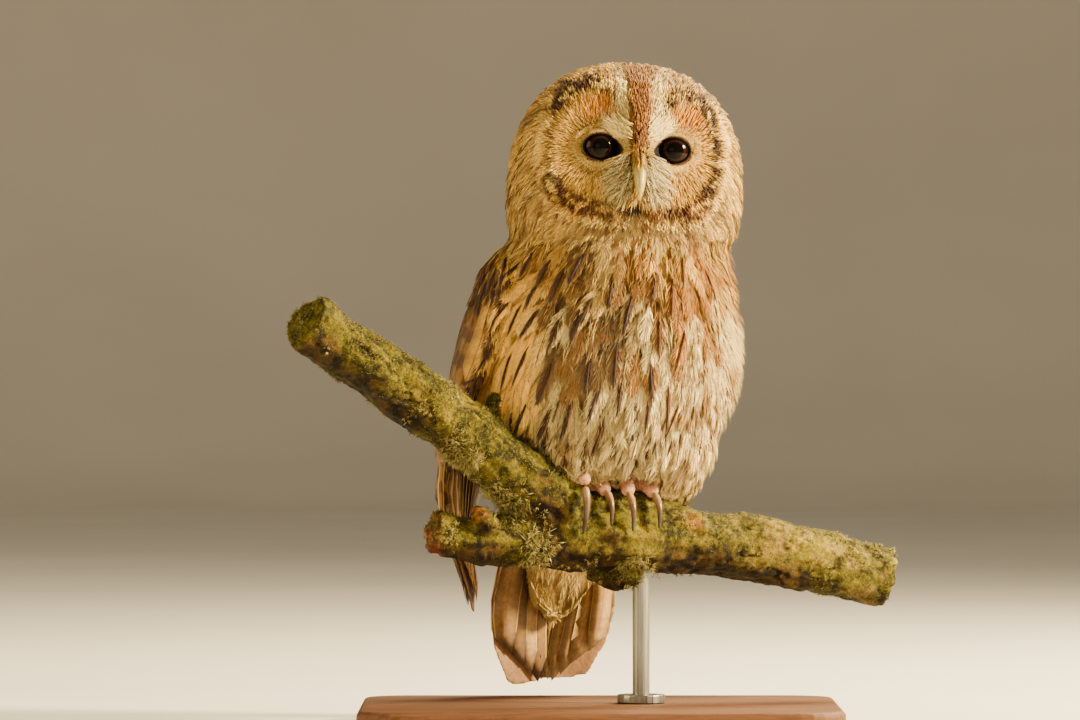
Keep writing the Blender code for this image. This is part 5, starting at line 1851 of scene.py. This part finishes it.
def scattered(name, tuft, material, grows, inputs):
    """Runs the tree on a copy of the bark and keeps the plain mesh."""
    group = scatter_tree(name + "_tree", tuft, material)
    base = perch.mesh.copy()
    set_value(base, "grows", grows)
    host = add("host", base)
    change = host.modifiers.new("grow", "NODES")
    change.node_group = group
    for item in group.interface.items_tree:
        if item.in_out == "INPUT" and item.name in inputs:
            change[item.identifier] = inputs[item.name]
    mesh = evaluated(host)
    bpy.data.objects.remove(tuft)
    mesh.shade_smooth()
    finished(name, mesh, None, "bark")
    print(name, len(mesh.polygons), "faces")


def tuft_object(name, blades, length, size, lean, seed):
    """A small clump of closed blades."""
    dice = np.random.default_rng(seed)
    turn = dice.uniform(0, math.tau, blades)
    tilt = dice.uniform(0.1, lean, blades)
    ahead = np.stack((np.sin(tilt) * np.cos(turn), np.sin(tilt) * np.sin(turn), np.cos(tilt)), axis=1)
    share = np.array((0.0, 0.5, 1.0))
    bend = np.stack((np.cos(turn), np.sin(turn), 0 * turn), axis=1)
    reach = length * dice.uniform(0.6, 1.2, (blades, 1, 1))
    share = share[None, :, None]
    path = ahead[:, None] * share * reach + bend[:, None] * share**2 * reach * 0.35
    up = np.tile((0.3, 0.2, 1.0), (blades, 3, 1))
    width = size * np.ones((blades, 3))
    white, spots = np.ones((blades, 3, 3)), np.zeros((blades, 2))
    points, faces = strands(path - (0, 0, 0.0006), up, width, width, ROUND, white, spots)[:2]
    return add(name, mesh_from(name, points, faces))


def growth_finish(name, low, high, tip):
    tree, where = new_material(name)
    tone = noise(tree, where, 420.0, 5.0, 0.7)
    colour = ramp(tree, tone, ((0.36, low), (0.52, high), (0.66, tip)))
    fine = noise(tree, where, 2200.0)
    colour = toned(tree, colour, fine, ((0.3, 0.6), (0.7, 1.25)))
    rough = ramp(tree, fine, ((0.2, 0.75), (0.8, 0.95)))
    return surfaced(name, colour, rough, bump(tree, fine, 0.5, 0.0003))


moss_green = growth_finish("moss_green", paint(30, 28, 5), paint(86, 80, 14), paint(176, 158, 44))
pale_lichen = growth_finish("pale_lichen", paint(92, 86, 36), paint(138, 126, 62), paint(184, 166, 100))

TOES_ACROSS = (-30, -16, -1, 14)
BUSHES_AT = ((-80, 158), (-60, 135), (-50, 128), (-36, 107), (20, 92))
toes = world(OWL, [(x, -20, -22) for x in TOES_ACROSS])
clear = rise(np.min([np.linalg.norm(perch.at - toe, axis=1) for toe in toes], axis=0), 0.012, 0.02)
place = perch.at / MM
bushes = np.zeros(len(place))
for x, z in BUSHES_AT:
    bushes += rise(np.hypot(place[:, 0] - x, place[:, 2] - z), 14, 5) * (perch.normal[:, 1] < 0.3)
moss_grows = mossy * rise(grain(place, 9, 31), -0.6, 0.4) * clear * np.where(perch.at[:, 0] > 0.04, 0.4, 1.0)
patches = rise(grain(place, 17, 33) + 0.3 * grain(place, 6, 34), 0.55, 0.95)
patches = patches * clear * np.where(perch.at[:, 0] > 0.05, 0.3, 0.7)
for name, blades, length, size, lean, coating, grows, dense, seed in (
    ("perch_moss", 4, 2.0, 0.24, 0.9, moss_green, moss_grows, 390000.0, 7),
    ("perch_lichen", 6, 2.6, 0.34, 1.2, pale_lichen, patches, 120000.0, 9),
    ("perch_beard", 9, 5.4, 0.27, 1.35, pale_lichen, np.clip(bushes, 0, 1), 120000.0, 11),
):
    tuft = tuft_object(name + "_tuft", blades, length * MM, size * MM, lean, seed)
    inputs = {"Tufts per square metre": dense, "Smallest": 0.5, "Largest": 1.3, "Seed": seed}
    scattered(name, tuft, coating, grows, inputs)

# %% [markdown]
# The stand is plain: a flat wooden base with softened edges, a steel collar and a steel rod. It keeps
# the solids' shapes. The base gets a small bevel, as any turned or milled board has.

# %% Stand
def wood_finish():
    tree, where = new_material("stained_wood")
    rings = noise(tree, stretched(tree, where, (6.0, 90.0, 90.0)), 1.0, 5.0, 0.6)
    pores = noise(tree, stretched(tree, where, (60.0, 1400.0, 1400.0)), 1.0, 2.0)
    stops = ((0.3, paint(72, 44, 28)), (0.5, paint(104, 66, 40)), (0.7, paint(84, 52, 32)))
    colour = ramp(tree, rings, stops)
    colour = toned(tree, colour, pores, ((0.35, 0.7), (0.55, 1.05)))
    rough = ramp(tree, rings, ((0.2, 0.55), (0.8, 0.7)))
    normal = bump(tree, pores, 0.25, 0.0003)
    return surfaced("stained_wood", colour, rough, normal, {"Specular IOR Level": 0.3})


def steel_finish():
    tree, where = new_material("brushed_rod")
    brush = noise(tree, stretched(tree, where, (900.0, 900.0, 30.0)), 1.0, 3.0)
    colour = ramp(tree, brush, ((0.3, paint(122, 120, 116)), (0.7, paint(158, 156, 150))))
    rough = ramp(tree, brush, ((0.2, 0.28), (0.8, 0.45)))
    return surfaced("brushed_rod", colour, rough, bump(tree, brush, 0.15, 0.0001), {"Metallic": 1.0})


def bevelled(solid, name, size, material, slot):
    part = merged(solid)
    bmesh.ops.dissolve_limit(part, angle_limit=0.02, verts=part.verts, edges=part.edges)
    sharp = [edge for edge in part.edges if edge.calc_face_angle(0) > 0.6]
    bmesh.ops.bevel(part, geom=sharp, offset=size, segments=3, profile=0.5, affect="EDGES")
    finished(name, mesh_of(part, name), material, slot, solid)


stained_wood, brushed_rod = wood_finish(), steel_finish()
bevelled("stand_base", "stand_board", 0.0012, stained_wood, "stand_wood")
bevelled("stand_collar", "stand_ferrule", 0.0006, brushed_rod, "stand_steel")
for held in frame["nodes"]["stand_rod"].material_slots:
    held.material = brushed_rod
print("stand dressed")

# %% [markdown]
# The studio: a pale floor that curves up into a backdrop, a warm key light from the right, a broad
# dim fill from the left, one light behind and above for the crown, a faint one in front, and a level
# camera far away, as a long lens sees it.

# %% Floor, light and camera
def backdrop():
    """A round floor that curves up into a wall far behind every camera place."""
    profile = [(0.0, 0.0), (6.0, 0.0)]
    for step in range(1, 13):
        turn = math.pi / 2 * step / 12
        profile.append((6.0 + 1.5 * math.sin(turn), 1.5 - 1.5 * math.cos(turn)))
    profile.append((7.5, 4.5))
    around = 96
    points, faces = [(0.0, 0.0, 0.0)], []
    for reach, height in profile[1:]:
        for step in range(around):
            turn = math.tau * step / around
            points.append((reach * math.cos(turn), reach * math.sin(turn), height))
    for step in range(around):
        after = (step + 1) % around
        faces.append((0, 1 + step, 1 + after))
        for ring in range(len(profile) - 2):
            low, high = 1 + ring * around, 1 + (ring + 1) * around
            faces.append((low + step, high + step, high + after, low + after))
    mesh = bpy.data.meshes.new("studio_floor")
    mesh.from_pydata(points, [], faces)
    mesh.shade_smooth()
    tree, where = new_material("pale_paper")
    stops = ((0.3, paint(214, 208, 198)), (0.7, paint(220, 214, 204)))
    colour = ramp(tree, noise(tree, where, 3.0, 2.0), stops)
    mesh.materials.append(surfaced("pale_paper", colour, 0.9))
    return add("studio_floor", mesh)


backdrop()


def lamp(name, place, target, size, power, colour):
    light = bpy.data.lights.new(name, "AREA")
    light.shape = "DISK"
    light.size = size
    light.energy = power
    light.color = colour
    thing = bpy.data.objects.new(name, light)
    thing.location = place
    thing.rotation_euler = (Vector(target) - Vector(place)).to_track_quat("-Z", "Y").to_euler()
    bpy.context.scene.collection.objects.link(thing)


HEART = (0.0, 0.0, 0.24)
lamp("key", (1.65, -0.35, 0.95), HEART, 0.4, 212.0, (1.0, 0.80, 0.48))
lamp("fill", (-2.1, -0.8, 0.9), HEART, 1.4, 44.0, (1.0, 0.77, 0.38))
lamp("front", (-0.4, -2.6, 0.7), HEART, 1.2, 5.0, (1.0, 0.88, 0.64))
lamp("crown", (0.9, 0.9, 1.4), HEART, 0.8, 105.0, (1.0, 0.85, 0.50))
air = bpy.data.worlds.new("studio_air")
air.use_nodes = True
air.node_tree.nodes["Background"].inputs[0].default_value = (1.0, 0.91, 0.74, 1)
air.node_tree.nodes["Background"].inputs[1].default_value = 0.27
bpy.context.scene.world = air

lens = bpy.data.cameras.new("camera")
lens.lens = 228.7
lens.sensor_width = 36.0
camera = bpy.data.objects.new("camera", lens)
camera.location = (-0.035, -4.0, 0.2144)
camera.rotation_euler = (math.pi / 2, 0, 0)
bpy.context.scene.collection.objects.link(camera)
bpy.context.scene.camera = camera

# %% [markdown]
# Last, the coat's triangles are counted over all its pieces. The dressed model stays within the
# solids' box but for what soft feathers may stand proud.

# %% Triangle count
print("coat:", sum(count for _, count in COAT), "triangles in", len(COAT), "pieces")
